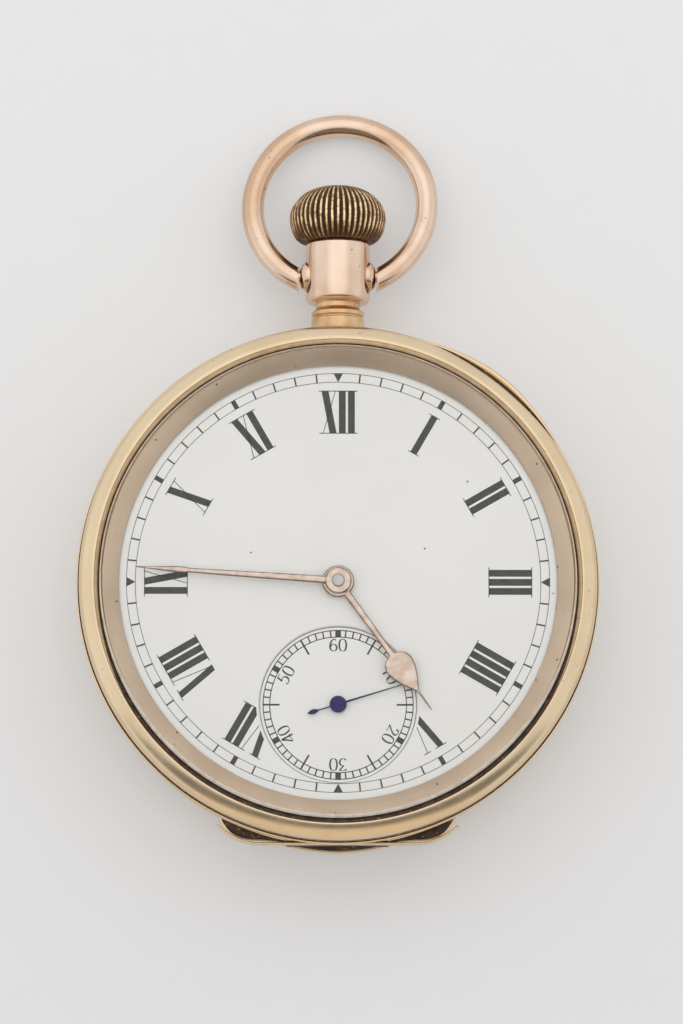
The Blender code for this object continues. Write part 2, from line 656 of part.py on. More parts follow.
# Bow: a round wire ring that swings in the pendant; it has dropped until its top lies on the table
foot_share = math.sqrt(1 - (BOW_FOOT / BOW_HALF_WIDTH) ** 2)
bow_rise = BOW_HEIGHT / (1 + foot_share)
bow_middle = BOW_HEIGHT - bow_rise
bow_drop = math.asin((STEM_Z - BOW_WIRE - BOW_LIFT) / BOW_HEIGHT)
BOW_POINTS = 24
foot_angle = -math.acos(BOW_FOOT / BOW_HALF_WIDTH)
bow_curve = bpy.data.curves.new("bow", "CURVE")
bow_curve.dimensions = "3D"
bow_curve.bevel_depth = BOW_WIRE
bow_curve.bevel_resolution = 2
bow_curve.use_fill_caps = True
bow_spline = bow_curve.splines.new("POLY")
bow_spline.points.add(BOW_POINTS)
for i, point in enumerate(bow_spline.points):
    angle = foot_angle + (math.pi - 2 * foot_angle) * i / BOW_POINTS
    point.co = (BOW_HALF_WIDTH * math.cos(angle), bow_middle + bow_rise * math.sin(angle), 0.0, 1.0)
bow_guide = bpy.data.objects.new("bow_guide", bow_curve)
cutters.objects.link(bow_guide)
bpy.context.view_layer.update()
bow_mesh = bpy.data.meshes.new_from_object(bow_guide.evaluated_get(bpy.context.evaluated_depsgraph_get()))
bpy.data.objects.remove(bow_guide)
bow_form = bmesh.new()
bow_form.from_mesh(bow_mesh)
bmesh.ops.remove_doubles(bow_form, verts=bow_form.verts, dist=0.001 * MM)
bmesh.ops.recalc_face_normals(bow_form, faces=bow_form.faces)
bow_form.to_mesh(bow_mesh)
bow_form.free()
bow = add("bow", bow_mesh, rose_gold)
bow.rotation_euler = (-bow_drop, 0.0, 0.0)
bow.location = (0.0, BOW_Y, STEM_Z)
for side_name, side in (("left", -1), ("right", 1)):
    bow_pin = rod(f"bow_pin_{side_name}", [(BOW_EYE, BOW_SOCKET + RUN_GAP, BOW_FOOT)], rose_gold)
    along_x(bow_pin, (0.0, BOW_Y, STEM_Z))
    bow_pin.rotation_euler = (0.0, side * math.pi / 2, 0.0)
    join(bow, bow_pin)

# Crown: a fluted onion on a sleeve that slides in the pendant
CROWN_Y = PENDANT_TOP + SHELL_GAP
CROWN_LEVELS = 6
crown_rings = []
for level in range(CROWN_LEVELS + 1):
    rise = level / CROWN_LEVELS
    swell = math.sin(math.pi * (0.17 + 0.75 * rise)) ** 0.62
    radius = CROWN_RADIUS * swell if level else CROWN_FOOT
    depth = CROWN_FLUTE_DEPTH * min(1.0, 3 * rise, 2.2 * (1.06 - rise))
    ring = []
    for i in range(2 * CROWN_FLUTES):
        angle = math.pi * i / CROWN_FLUTES
        reach = radius - (depth if i % 2 else 0.0)
        ring.append((reach * math.cos(angle), CROWN_Y + CROWN_HEIGHT * rise,
                     STEM_Z + reach * math.sin(angle)))
    crown_rings.append(ring)
crown_mesh = bpy.data.meshes.new("crown")
crown_form = bmesh.new()
crown_verts = [[crown_form.verts.new(point) for point in ring] for ring in crown_rings]
for low, high in zip(crown_verts, crown_verts[1:]):
    for i in range(len(low)):
        nxt = (i + 1) % len(low)
        crown_form.faces.new((low[i], low[nxt], high[nxt], high[i]))
crown_form.faces.new(crown_verts[0])
crown_form.faces.new(crown_verts[-1][::-1])
bmesh.ops.recalc_face_normals(crown_form, faces=crown_form.faces)
crown_form.to_mesh(crown_mesh)
crown_form.free()
crown = add("crown", crown_mesh, worn_brass)
SLEEVE_END = BARREL_Y + 0.8 * MM
sleeve = rod("crown_sleeve", [(CROWN_SLEEVE, SLEEVE_END, CROWN_Y + CROWN_HEIGHT / 2)], worn_brass)
along_y(sleeve, (0.0, 0.0, STEM_Z))
join(crown, sleeve)

# Axes of the movement, seen from the dial side
CENTRE = (0.0, 0.0)
FOURTH = (0.0, -SECONDS_DROP)
barrel_reach = BARREL_MODULE * (BARREL_TEETH + CENTRE_LEAVES) / 2
BARREL = polar(barrel_reach, BARREL_AT)
third_reach = CENTRE_MODULE * (CENTRE_TEETH + THIRD_LEAVES) / 2
fourth_reach = THIRD_MODULE * (THIRD_TEETH + FOURTH_LEAVES) / 2
third_down = (third_reach ** 2 - fourth_reach ** 2 + SECONDS_DROP ** 2) / (2 * SECONDS_DROP)
THIRD = (math.sqrt(third_reach ** 2 - third_down ** 2), -third_down)
escape_reach = FOURTH_MODULE * (FOURTH_TEETH + ESCAPE_LEAVES) / 2
ESCAPE = polar(escape_reach, ESCAPE_AT, FOURTH)
BALANCE = polar(BALANCE_OUT, BALANCE_AT)
PALLET = spot(BALANCE, ESCAPE, LEVER_LENGTH / math.dist(BALANCE, ESCAPE))
motion_reach = MOTION_MODULE * (CANNON_LEAVES + MINUTE_TEETH) / 2
MINUTE_POST = (0.0, motion_reach)
SETTING_POST = (0.0, motion_reach + MOTION_MODULE * (MINUTE_TEETH + SETTING_TEETH) / 2)
crown_wheel_radius = WINDING_MODULE * CROWN_TEETH / 2
ratchet_radius = WINDING_MODULE * RATCHET_TEETH / 2
crown_wheel_up = math.sqrt((crown_wheel_radius + ratchet_radius) ** 2 - BARREL[0] ** 2)
CROWN_WHEEL = (0.0, BARREL[1] + crown_wheel_up)

# Lengths along the stem
WINDING_Y = CROWN_WHEEL[1] + crown_wheel_radius
WINDING_LENGTH = 0.9 * MM
STEM_RADIUS = 0.6 * MM
STEM_PIVOT = 0.38 * MM
STEM_INNER = 12.1 * MM
STEM_BEARING = 0.7 * MM
STEM_GROOVE_Y = 19.6 * MM
STEM_PULL = 0.9 * MM
FINGER = 0.3 * MM
STEM_GROOVE = 1.0 * MM
CLUTCH_LENGTH = 3.0 * MM
CLUTCH_RADIUS = 1.55 * MM
CLUTCH_GROOVE = 0.9 * MM
CLUTCH_LEAVES = 12
winding_radius = WINDING_MODULE * WINDING_LEAVES / 2
winding_tip = winding_radius + 0.45 * WINDING_MODULE
WHEEL_MESH = 0.18 * MM
WINDING_WALL = 0.7 * MM
WINDING_TOP = STEM_Z - winding_tip + WHEEL_MESH
WINDING_LOW = WINDING_TOP - WINDING_WALL
clutch_top = WINDING_Y - WINDING_LENGTH / 2 - RUN_GAP
clutch_low = clutch_top - CLUTCH_LENGTH

# Main plate with the arbors' holes, a window for the winding work, and the movement's flange
DIAL_FEET = [polar(DIAL_FOOT_RADIUS, math.radians(a)) for a in (20.0, 150.0, 245.0)]
pivot_hole = PIVOT + PIVOT_GAP
plate_holes = [circle(pivot_hole, spot_at, ROUND_PIVOT) for spot_at in (THIRD, ESCAPE, PALLET, BALANCE,
                                                                        BARREL)]
plate_holes += [circle(ARBOR + PIVOT_GAP, spot_at) for spot_at in (CENTRE, FOURTH)]
plate_holes += [circle(DIAL_FOOT + PIVOT_GAP, foot) for foot in DIAL_FEET]
window_half = winding_tip + RUN_GAP
pin_half = 0.95 * MM
window_low = STEM_INNER + STEM_BEARING + RUN_GAP
window_step = WINDING_Y + WINDING_LENGTH / 2 + RUN_GAP
window_high = STEM_GROOVE_Y + STEM_PULL + FINGER + RUN_GAP
plate_window = [(-window_half, window_low), (window_half, window_low), (window_half, window_step),
                (pin_half, window_step), (pin_half, window_high), (-pin_half, window_high),
                (-pin_half, window_step), (-window_half, window_step)]
main_plate = prism("main_plate", [circle(PLATE_RADIUS, steps=ROUND_LARGE), plate_window] + plate_holes,
                   PLATE_LOW, PLATE_TOP, gilt)
flange = ring_of("plate_flange", PLATE_RADIUS - 0.5 * MM, PLATE_FLANGE, PLATE_TOP - PLATE_FLANGE_WALL,
                 PLATE_TOP,
                 gilt, steps=ROUND_LARGE)
join(main_plate, flange)
POST = 0.35 * MM
SETTING_LEVER_PIVOT = (4.0 * MM, 19.0 * MM)
YOKE_PIVOT = (-4.6 * MM, 15.0 * MM)
for name, post in (("minute_post", MINUTE_POST), ("setting_post", SETTING_POST),
                   ("setting_lever_post", SETTING_LEVER_PIVOT), ("yoke_post", YOKE_PIVOT)):
    join(main_plate, rod(name, [(POST, PLATE_TOP - PLATE_WALL / 2, DIAL_LOW - RUN_GAP / 2)], gilt, post, 8))
stem_block = block("stem_bearing", (-1.3 * MM, STEM_INNER, STEM_Z - 1.0 * MM),
                   (1.3 * MM, STEM_INNER + STEM_BEARING, PLATE_LOW + PLATE_WALL / 2), gilt)
join(main_plate, stem_block)
stem_bore = rod("stem_bore", [(STEM_PIVOT + PIVOT_GAP, STEM_INNER - STEM_BEARING, window_low)], gilt)
along_y(stem_bore, (0.0, 0.0, STEM_Z))
cut(main_plate, stem_bore)

# The stem passes the band through a plain hole
stem_way = rod("stem_way", [(STEM_RADIUS + RUN_GAP, 0.5 * BAND_BORE, 2 * BAND_RADIUS)], gold)
along_y(stem_way, (0.0, 0.0, STEM_Z))
cut(case_band, stem_way)


def bridge(name, loops, feet):
    # A bridge plate and the round feet that stand on the main plate
    item = prism(name, loops, BRIDGE_LOW, BRIDGE_TOP, gilt)
    for i, foot in enumerate(feet):
        join(item, rod(f"{name}_foot_{i}", [(FOOT_RADIUS, BRIDGE_LOW + BRIDGE_WALL / 2,
                                             PLATE_LOW - SEAT_GAP)],
                       gilt, foot, 12))
    return item


# Barrel bridge: carries the barrel, the centre wheel, the ratchet and the crown wheel
foot_out = BRIDGE_RADIUS - FOOT_RADIUS - 1.5 * RUN_GAP
BRIDGE_LINE = -2.2 * MM
BRIDGE_CORNER = -3.2 * MM
BARREL_CORNER = 12.5 * MM
barrel_edge = arc(BRIDGE_RADIUS, math.asin(BRIDGE_LINE / BRIDGE_RADIUS), math.radians(140.0), 22)
barrel_loop = barrel_edge + [polar(BARREL_CORNER, math.radians(150.0)), (BRIDGE_CORNER, BRIDGE_LINE)]
winding_window = [(-window_half, WINDING_Y - WINDING_LENGTH), (window_half, WINDING_Y - WINDING_LENGTH),
                  (window_half, window_step), (-window_half, window_step)]
barrel_bridge = bridge("barrel_bridge", [barrel_loop, winding_window,
                                         circle(pivot_hole, CENTRE, ROUND_PIVOT)],
                       [polar(foot_out, math.radians(a)) for a in (2.0, 75.0, 132.0)])
recess_top = WINDING_TOP + 0.5 * RUN_GAP
CLICK_OUT = 1.5 * MM
CLICK_ROOM = 2.5 * MM
CLICK_AT = math.radians(98.0)
CLICK_POST = polar(ratchet_radius + CLICK_OUT, CLICK_AT, BARREL)
recesses = [("ratchet_recess", BARREL, ratchet_radius + 2 * RUN_GAP),
            ("crown_wheel_recess", CROWN_WHEEL, crown_wheel_radius + 2 * RUN_GAP),
            ("click_recess", CLICK_POST, CLICK_ROOM)]
for name, place, radius in recesses:
    cut(barrel_bridge, rod(name, [(radius, BRIDGE_LOW / 2, recess_top)], gilt, place, ROUND_MID))
BARREL_PIVOT = 0.9 * MM
cut(barrel_bridge, rod("barrel_arbor_hole", [(BARREL_PIVOT + PIVOT_GAP, BRIDGE_LOW / 2, 2 * BRIDGE_TOP)],
                       gilt, BARREL))
CORE = 0.7 * MM
for name, place in (("crown_wheel_core", CROWN_WHEEL), ("click_core", CLICK_POST)):
    join(barrel_bridge, rod(name, [(CORE, WINDING_LOW, (recess_top + BRIDGE_TOP) / 2)], gilt, place, 12))

# Train bridge: carries the third, fourth and escape wheels, and leaves the balance free
BALANCE_ROOM = BALANCE_RADIUS + 0.6 * MM
train_right = math.asin((BRIDGE_LINE - BRIDGE_SPLIT) / BRIDGE_RADIUS)
train_edge = arc(BRIDGE_RADIUS, math.radians(-106.0), train_right, 14)
train_room = arc(BALANCE_ROOM, math.radians(62.0), math.radians(-52.0), 10, BALANCE)
train_loop = train_edge + [(BRIDGE_CORNER, BRIDGE_LINE - BRIDGE_SPLIT)] + train_room[2:]
train_holes = [circle(pivot_hole, at, ROUND_PIVOT) for at in (THIRD, FOURTH, ESCAPE)]
train_bridge = bridge("train_bridge", [train_loop] + train_holes,
                      [polar(foot_out, math.radians(a)) for a in (-22.0, -60.0, -100.0)])

# Balance cock and pallet cock
COCK_FOOT = (-15.4 * MM, 3.6 * MM)
COCK_FOOT_RADIUS = 2.6 * MM
COCK_EYE = 2.0 * MM
COCK_WALL = 1.0 * MM
COCK_TOP = BRIDGE_LOW + COCK_WALL
balance_cock = prism("balance_cock", [capsule(COCK_FOOT, BALANCE, COCK_FOOT_RADIUS, COCK_EYE),
                                      circle(pivot_hole, BALANCE, ROUND_PIVOT)], BRIDGE_LOW, COCK_TOP, gilt)
join(balance_cock, rod("balance_cock_foot", [(COCK_FOOT_RADIUS - 0.4 * MM, BRIDGE_LOW + COCK_WALL / 2,
                                              PLATE_LOW - SEAT_GAP)], gilt, COCK_FOOT, 14))
PALLET_FOOT = (-9.8 * MM, -12.8 * MM)
PALLET_COCK_LOW = BRIDGE_TOP + PALLET_COCK_UP
PALLET_COCK_WALL = 0.35 * MM
pallet_cock = prism("pallet_cock", [capsule(PALLET_FOOT, PALLET, 1.3 * MM, 0.8 * MM),
                                    circle(pivot_hole, PALLET, ROUND_PIVOT)],
                    PALLET_COCK_LOW, PALLET_COCK_LOW + PALLET_COCK_WALL, gilt)
join(pallet_cock, rod("pallet_cock_foot", [(1.0 * MM, PALLET_COCK_LOW + PALLET_COCK_WALL / 2,
                                            PLATE_LOW - SEAT_GAP)],
                      gilt, PALLET_FOOT, 12))


def in_mesh(driver, driven, leaves):
    # Turn of a pinion that puts a gap where the wheel's tooth points at it
    return heading(driver, driven) + math.pi + math.pi / leaves


def wheel(name, teeth, module, turn, bottom, bore, at, spokes, material=gilt, wall=WHEEL_WALL):
    radius = teeth * module / 2
    loops = [wheel_outline(teeth, module, turn), circle(bore, steps=12)]
    if spokes:
        loops += windows(spokes, bore + 0.8 * MM, radius - 1.9 * module - 0.5 * MM, 0.3 * MM, turn)
    return prism(name, loops, bottom, bottom + wall, material, at)


def pinion(name, leaves, module, turn, bottom, top, spans, at, steps=ROUND_PIVOT):
    # A toothed pinion on the stepped arbor that carries it
    item = rod(name, spans, steel, at, steps)
    join(item, prism(f"{name}_leaves", [pinion_outline(leaves, module, turn)], bottom, top, steel, at))
    return item


SHOULDER = 0.15 * MM
LEAF_OVER = 0.12 * MM
pivot_low = BRIDGE_TOP - 0.6 * BRIDGE_WALL
pivot_high = PLATE_LOW + 0.6 * PLATE_WALL
arbor_low = BRIDGE_TOP + SHOULDER
arbor_high = PLATE_LOW - SHOULDER
wheel_bore = ARBOR + SEAT_GAP


def arbor_spans(top_spans):
    return [(PIVOT, pivot_low, arbor_low), (ARBOR, arbor_low, arbor_high)] + top_spans


plain_top = [(PIVOT, arbor_high, pivot_high)]

# Levels of the wheels
third_z = BRIDGE_TOP + THIRD_WHEEL_UP
fourth_z = BRIDGE_TOP + FOURTH_WHEEL_UP
escape_z = BRIDGE_TOP + ESCAPE_WHEEL_UP
centre_z = BRIDGE_TOP + CENTRE_WHEEL_UP
barrel_z = BRIDGE_TOP + BARREL_UP
BASE_WALL = 0.45 * MM

# Hand levels over the dial
seconds_dial_top = DIAL_TOP - SECONDS_SUNK
second_hand_z = DIAL_TOP + 0.12 * MM
hour_hand_z = DIAL_TOP + 0.45 * MM
minute_hand_z = hour_hand_z + 0.45 * MM
CANNON_BORE = 0.45 * MM
CANNON_TUBE = 0.72 * MM
HOUR_BORE = CANNON_TUBE + PIVOT_GAP
HOUR_TUBE = 1.05 * MM
DIAL_HOLE = HOUR_TUBE + RUN_GAP

# Centre wheel, its pinion and the arbor that carries the cannon pinion
centre_post = CANNON_BORE - SEAT_GAP
centre_pinion = pinion("centre_pinion", CENTRE_LEAVES, BARREL_MODULE, in_mesh(BARREL, CENTRE, CENTRE_LEAVES),
                       barrel_z - LEAF_OVER, barrel_z + BASE_WALL + LEAF_OVER,
                       arbor_spans([(centre_post, arbor_high, minute_hand_z + HAND_WALL)]), CENTRE)
centre_wheel = wheel("centre_wheel", CENTRE_TEETH, CENTRE_MODULE, heading(CENTRE, THIRD), centre_z,
                     wheel_bore,
                     CENTRE, 4)
third_pinion = pinion("third_pinion", THIRD_LEAVES, CENTRE_MODULE, in_mesh(CENTRE, THIRD, THIRD_LEAVES),
                      centre_z - LEAF_OVER, centre_z + WHEEL_WALL + LEAF_OVER, arbor_spans(plain_top), THIRD)
third_wheel = wheel("third_wheel", THIRD_TEETH, THIRD_MODULE, heading(THIRD, FOURTH), third_z, wheel_bore,
                    THIRD, 4)
FOURTH_POST = 0.3 * MM
fourth_pinion = pinion("fourth_pinion", FOURTH_LEAVES, THIRD_MODULE, in_mesh(THIRD, FOURTH, FOURTH_LEAVES),
                       third_z + SEAT_GAP, third_z + WHEEL_WALL + LEAF_OVER,
                       arbor_spans([(FOURTH_POST, arbor_high, second_hand_z + HAND_WALL)]), FOURTH)
fourth_wheel = wheel("fourth_wheel", FOURTH_TEETH, FOURTH_MODULE, heading(FOURTH, ESCAPE), fourth_z,
                     wheel_bore,
                     FOURTH, 4)
ESCAPE_ARBOR = 0.3 * MM
escape_spans = [(PIVOT - SEAT_GAP, pivot_low, arbor_low), (ESCAPE_ARBOR, arbor_low, arbor_high),
                (PIVOT - SEAT_GAP, arbor_high, pivot_high)]
escape_pinion = pinion("escape_pinion", ESCAPE_LEAVES, FOURTH_MODULE, in_mesh(FOURTH, ESCAPE, ESCAPE_LEAVES),
                       fourth_z - LEAF_OVER, fourth_z + WHEEL_WALL + LEAF_OVER, escape_spans, ESCAPE)

# Escape wheel: fifteen raked club teeth
to_pallet = heading(ESCAPE, PALLET)
escape_turn = to_pallet
ESCAPE_RIM = ESCAPE_RADIUS - 0.8 * MM
club = ((ESCAPE_RIM, 0.0), (ESCAPE_RADIUS, 0.28), (ESCAPE_RADIUS, 0.42), (ESCAPE_RIM, 0.22))
escape_loops = [toothed(ESCAPE_TEETH, club, escape_turn), circle(ESCAPE_ARBOR + SEAT_GAP, steps=8)]
escape_loops += windows(4, 0.7 * MM, ESCAPE_RIM - 0.35 * MM, 0.18 * MM, 0.0)
escape_wheel = prism("escape_wheel", escape_loops, escape_z, escape_z + WHEEL_WALL, steel, ESCAPE)

# Pallet fork with two stones that clear the teeth when it stands in the middle of its swing
back_to_escape = heading(PALLET, ESCAPE)
to_balance = heading(PALLET, BALANCE)
PALLET_ARM = 2.3 * MM
PALLET_SPREAD = math.radians(62.0)
PALLET_BAR = 0.45 * MM
FORK_HORN = 2.5 * MM
FORK_HALF = 0.5 * MM
FORK_SLOT = 0.2 * MM
arm_ends = [polar(PALLET_ARM, back_to_escape + side * PALLET_SPREAD) for side in (-1, 1)]


def turned_outline(points, angle):
    return [(x * math.cos(angle) - y * math.sin(angle), x * math.sin(angle) + y * math.cos(angle)) for x,
            y in points]


def anchor_arm(side):
    # One pallet arm, from the fork's back to its square end
    angle = math.pi + side * PALLET_SPREAD
    base = polar(PALLET_ARM, angle)
    across = polar(PALLET_BAR / 2, angle + math.pi / 2)
    return [(base[0] - across[0], base[1] - across[1]), (base[0] + across[0], base[1] + across[1])]


fork_side = [(FORK_HORN - 0.4 * MM, FORK_SLOT), (FORK_HORN, FORK_SLOT), (FORK_HORN, FORK_HALF),
             (FORK_HORN - 0.5 * MM, 0.2 * MM), (0.3 * MM, PALLET_BAR)]
upper_arm = anchor_arm(-1)
fork_side += upper_arm + [(-0.7 * MM, 0.0)]
fork_outline = fork_side + [(x, -y) for x, y in reversed(fork_side) if y > 0.0]
PALLET_ARBOR = 0.22 * MM
pallet_fork = prism("pallet_fork", [turned_outline(fork_outline, to_balance),
                                    circle(PALLET_ARBOR + SEAT_GAP, steps=ROUND_PIVOT)],
                    escape_z, escape_z + WHEEL_WALL, steel, PALLET)
pallet_arbor = rod("pallet_arbor", [(PALLET_ARBOR, PALLET_COCK_LOW, pivot_high)], steel, PALLET, 8)
STONE = 0.36 * MM
pallet_stones = []
for stone_name, end in (("entry_stone", arm_ends[0]), ("exit_stone", arm_ends[1])):
    world_end = (PALLET[0] + end[0], PALLET[1] + end[1])
    outward = heading(ESCAPE, world_end)
    gap_out = ESCAPE_RADIUS + 0.12 * MM
    middle = polar(gap_out + STONE / 2, outward, ESCAPE)
    half = STONE / 2
    square = turned_outline([(-half, -half), (half, -half), (half, half), (-half, half)], outward)
    pallet_stones.append(prism(stone_name, [square], escape_z - STONE - SEAT_GAP, escape_z - SEAT_GAP, ruby,
                               middle))

# Balance, its staff with the roller, and the hairspring
balance_z = BRIDGE_TOP + BALANCE_UP
balance_loops = [circle(BALANCE_RADIUS, steps=ROUND_MID), circle(wheel_bore, steps=ROUND_PIVOT)]
balance_loops += windows(2, 1.2 * MM, BALANCE_RADIUS - BALANCE_RIM, 0.5 * MM, 0.0)
balance_wheel = prism("balance_wheel", balance_loops, balance_z, balance_z + BALANCE_WALL, gilt, BALANCE)
ROLLER = 1.3 * MM
roller_top = escape_z - RUN_GAP
balance_staff = rod("balance_staff", [
    (PIVOT, COCK_TOP - 0.6 * COCK_WALL, COCK_TOP + SEAT_GAP),
                                      (ARBOR, COCK_TOP + SEAT_GAP, roller_top - 0.3 * MM),
    (ROLLER, roller_top - 0.3 * MM, roller_top), (PIVOT, roller_top, pivot_high)], steel, BALANCE, 16)
HAIRSPRING_WIRE = 0.1 * MM
HAIRSPRING_TURNS = 3
HAIRSPRING_INNER = 1.0 * MM
HAIRSPRING_PITCH = 0.75 * MM


def spiral(inner, pitch, turns, per_turn, offset=0.0):
    count = turns * per_turn
    return [polar(inner + offset + pitch * i / per_turn, math.tau * i / per_turn) for i in range(count + 1)]


def least_gap(points, per_turn, width):
    # Distance between neighbouring turns of a spiral, less the thickness of the strip
    return min(math.dist(a, b) for a, b in zip(points, points[per_turn:])) - width


HAIRSPRING_POINTS = 24
hair_points = spiral(HAIRSPRING_INNER, HAIRSPRING_PITCH, HAIRSPRING_TURNS, HAIRSPRING_POINTS)
hair_curve = bpy.data.curves.new("hairspring", "CURVE")
hair_curve.dimensions = "3D"
hair_curve.bevel_depth = HAIRSPRING_WIRE
hair_curve.bevel_resolution = 1
hair_curve.use_fill_caps = True
hair_spline = hair_curve.splines.new("POLY")
hair_spline.points.add(len(hair_points) - 1)
for point, (x, y) in zip(hair_spline.points, hair_points):
    point.co = (x, y, 0.0, 1.0)
hair_curve.materials.append(blued)
hairspring = bpy.data.objects.new("hairspring", hair_curve)
pieces.objects.link(hairspring)
hairspring.location = (*BALANCE, (COCK_TOP + balance_z) / 2)
print("hairspring least gap, mm:", round(least_gap(hair_points, HAIRSPRING_POINTS, 2 * HAIRSPRING_WIRE) / MM,
                                         3))

# Regulator on the cock's outer face
REGULATOR_WALL = 0.3 * MM
regulator_top = BRIDGE_LOW - SEAT_GAP
regulator_reach = spot((0.0, 0.0), tuple(a - b for a, b in zip(COCK_FOOT, BALANCE)), 0.62)
regulator = prism("regulator", [capsule((0.0, 0.0), regulator_reach, 1.3 * MM, 0.2 * MM),
                                circle(0.6 * MM, steps=12)],
                  regulator_top - REGULATOR_WALL, regulator_top, steel, BALANCE)

# Barrel: a toothed drum, its snap cover, the arbor and the mainspring
DRUM_RADIUS = BARREL_TEETH * BARREL_MODULE / 2 - 2.3 * BARREL_MODULE
DRUM_WALL = 0.5 * MM
COVER_WALL = 0.25 * MM
BARREL_ARBOR = 1.0 * MM
BARREL_CORE = 2.1 * MM
drum_top = barrel_z + BARREL_TALL
arbor_hole = BARREL_ARBOR + PIVOT_GAP
barrel = prism("barrel", [wheel_outline(BARREL_TEETH, BARREL_MODULE, heading(BARREL, CENTRE)),
                          circle(arbor_hole)],
               barrel_z, barrel_z + BASE_WALL, gilt, BARREL)
join(barrel, ring_of("barrel_wall", DRUM_RADIUS - DRUM_WALL, DRUM_RADIUS, barrel_z + BASE_WALL / 2, drum_top,
                     gilt, BARREL))
barrel_cover = ring_of("barrel_cover", arbor_hole, DRUM_RADIUS - DRUM_WALL - SEAT_GAP - 0.05 * MM,
                       drum_top - COVER_WALL, drum_top, gilt, BARREL)
core_low = barrel_z + BASE_WALL + SEAT_GAP
core_high = drum_top - COVER_WALL - SEAT_GAP
barrel_arbor = rod("barrel_arbor", [
    (BARREL_PIVOT, WINDING_TOP + SEAT_GAP, core_low), (BARREL_CORE, core_low, core_high),
    (BARREL_PIVOT, core_high, PLATE_LOW - SEAT_GAP), (PIVOT, PLATE_LOW - SEAT_GAP, pivot_high)], steel,
                   BARREL)
SPRING_STRIP = 0.2 * MM
SPRING_TURNS = 5
SPRING_INNER = BARREL_CORE + 0.4 * MM
SPRING_PITCH = (DRUM_RADIUS - DRUM_WALL - SPRING_INNER - 0.6 * MM) / SPRING_TURNS
SPRING_POINTS = 12
strip_inside = spiral(SPRING_INNER, SPRING_PITCH, SPRING_TURNS, SPRING_POINTS)
strip_outside = spiral(SPRING_INNER, SPRING_PITCH, SPRING_TURNS, SPRING_POINTS, SPRING_STRIP)
mainspring = prism("mainspring", [strip_outside + strip_inside[::-1]], core_low + SEAT_GAP,
                   core_high - SEAT_GAP, blued, BARREL)
print("mainspring least gap, mm:", round(least_gap(strip_inside, SPRING_POINTS, SPRING_STRIP) / MM, 3))

# Ratchet wheel on the barrel arbor, crown wheel, and the click that holds the ratchet
ratchet_turn = heading(BARREL, CROWN_WHEEL)
ratchet_wheel = wheel("ratchet_wheel", RATCHET_TEETH, WINDING_MODULE, ratchet_turn, WINDING_LOW, 0.5 * MM,
                      BARREL, 0,
                      steel, WINDING_WALL)
crown_wheel = wheel("crown_wheel", CROWN_TEETH, WINDING_MODULE, in_mesh(BARREL, CROWN_WHEEL, CROWN_TEETH),
                    WINDING_LOW,
                    CORE + PIVOT_GAP, CROWN_WHEEL, 0, steel, WINDING_WALL)
beak = polar(ratchet_radius + 1.25 * WINDING_MODULE, CLICK_AT - math.radians(14.0), BARREL)
beak = (beak[0] - CLICK_POST[0], beak[1] - CLICK_POST[1])
click = prism("click", [capsule((0.0, 0.0), beak, 1.05 * MM, 0.16 * MM), circle(CORE + PIVOT_GAP, steps=12)],
              WINDING_LOW, WINDING_TOP, steel, CLICK_POST)

# Winding stem, the winding pinion that turns on it, and the sliding pinion on its square
stem_end = SLEEVE_END - SEAT_GAP
groove_low = STEM_GROOVE_Y - STEM_GROOVE / 2
groove_high = STEM_GROOVE_Y + STEM_GROOVE / 2
winding_stem = rod("winding_stem", [
    (STEM_PIVOT, STEM_INNER - 0.3 * MM, STEM_INNER + STEM_BEARING + RUN_GAP),
    (STEM_RADIUS, STEM_INNER + STEM_BEARING + RUN_GAP + MM, groove_low),
    (0.6 * STEM_RADIUS, groove_low, groove_high),
    (STEM_RADIUS, groove_high, stem_end)], steel)
along_y(winding_stem, (0.0, 0.0, STEM_Z))
stem_bore_radius = STEM_RADIUS + PIVOT_GAP
lead = -math.pi / 2
winding_loop = toothed(WINDING_LEAVES, ((winding_radius - 1.1 * WINDING_MODULE, -0.24), (winding_tip, -0.12),
                                        (winding_tip, 0.12), (winding_radius - 1.1 * WINDING_MODULE, 0.24)),
                       lead)
winding_pinion = prism("winding_pinion", [winding_loop, circle(stem_bore_radius)],
                       WINDING_Y - WINDING_LENGTH / 2, WINDING_Y + WINDING_LENGTH / 2, steel)
along_y(winding_pinion, (0.0, 0.0, STEM_Z))
clutch_neck = CLUTCH_RADIUS - 0.5 * MM
clutch_mid = (clutch_low + clutch_top) / 2
sliding_pinion = turned("sliding_pinion", [
    (CLUTCH_RADIUS, clutch_top), (CLUTCH_RADIUS, clutch_mid + CLUTCH_GROOVE / 2),
                                           (clutch_neck, clutch_mid + CLUTCH_GROOVE / 2),
    (clutch_neck, clutch_mid - CLUTCH_GROOVE / 2), (CLUTCH_RADIUS, clutch_mid - CLUTCH_GROOVE / 2),
    (CLUTCH_RADIUS, clutch_low), (stem_bore_radius, clutch_low), (stem_bore_radius, clutch_top)],
    steel, steps=CLUTCH_LEAVES, ring=True)
along_y(sliding_pinion, (0.0, 0.0, STEM_Z))

# Setting lever and yoke lie under the dial; each has a finger that reaches down into a groove
LEVER_WALL = 0.3 * MM
lever_z = PLATE_TOP + SEAT_GAP


def keyless_lever(name, pivot, finger_at, finger_bottom):
    arm = (finger_at[0] - pivot[0], finger_at[1] - pivot[1])
    item = prism(name, [capsule((0.0, 0.0), arm, 0.8 * MM, 0.5 * MM),
                        circle(POST + PIVOT_GAP, steps=ROUND_PIVOT)],
                 lever_z, lever_z + LEVER_WALL, steel, pivot)
    join(item, rod(f"{name}_finger", [(FINGER, finger_bottom, lever_z + LEVER_WALL / 2)], steel, finger_at,
                   ROUND_PIVOT))
    return item


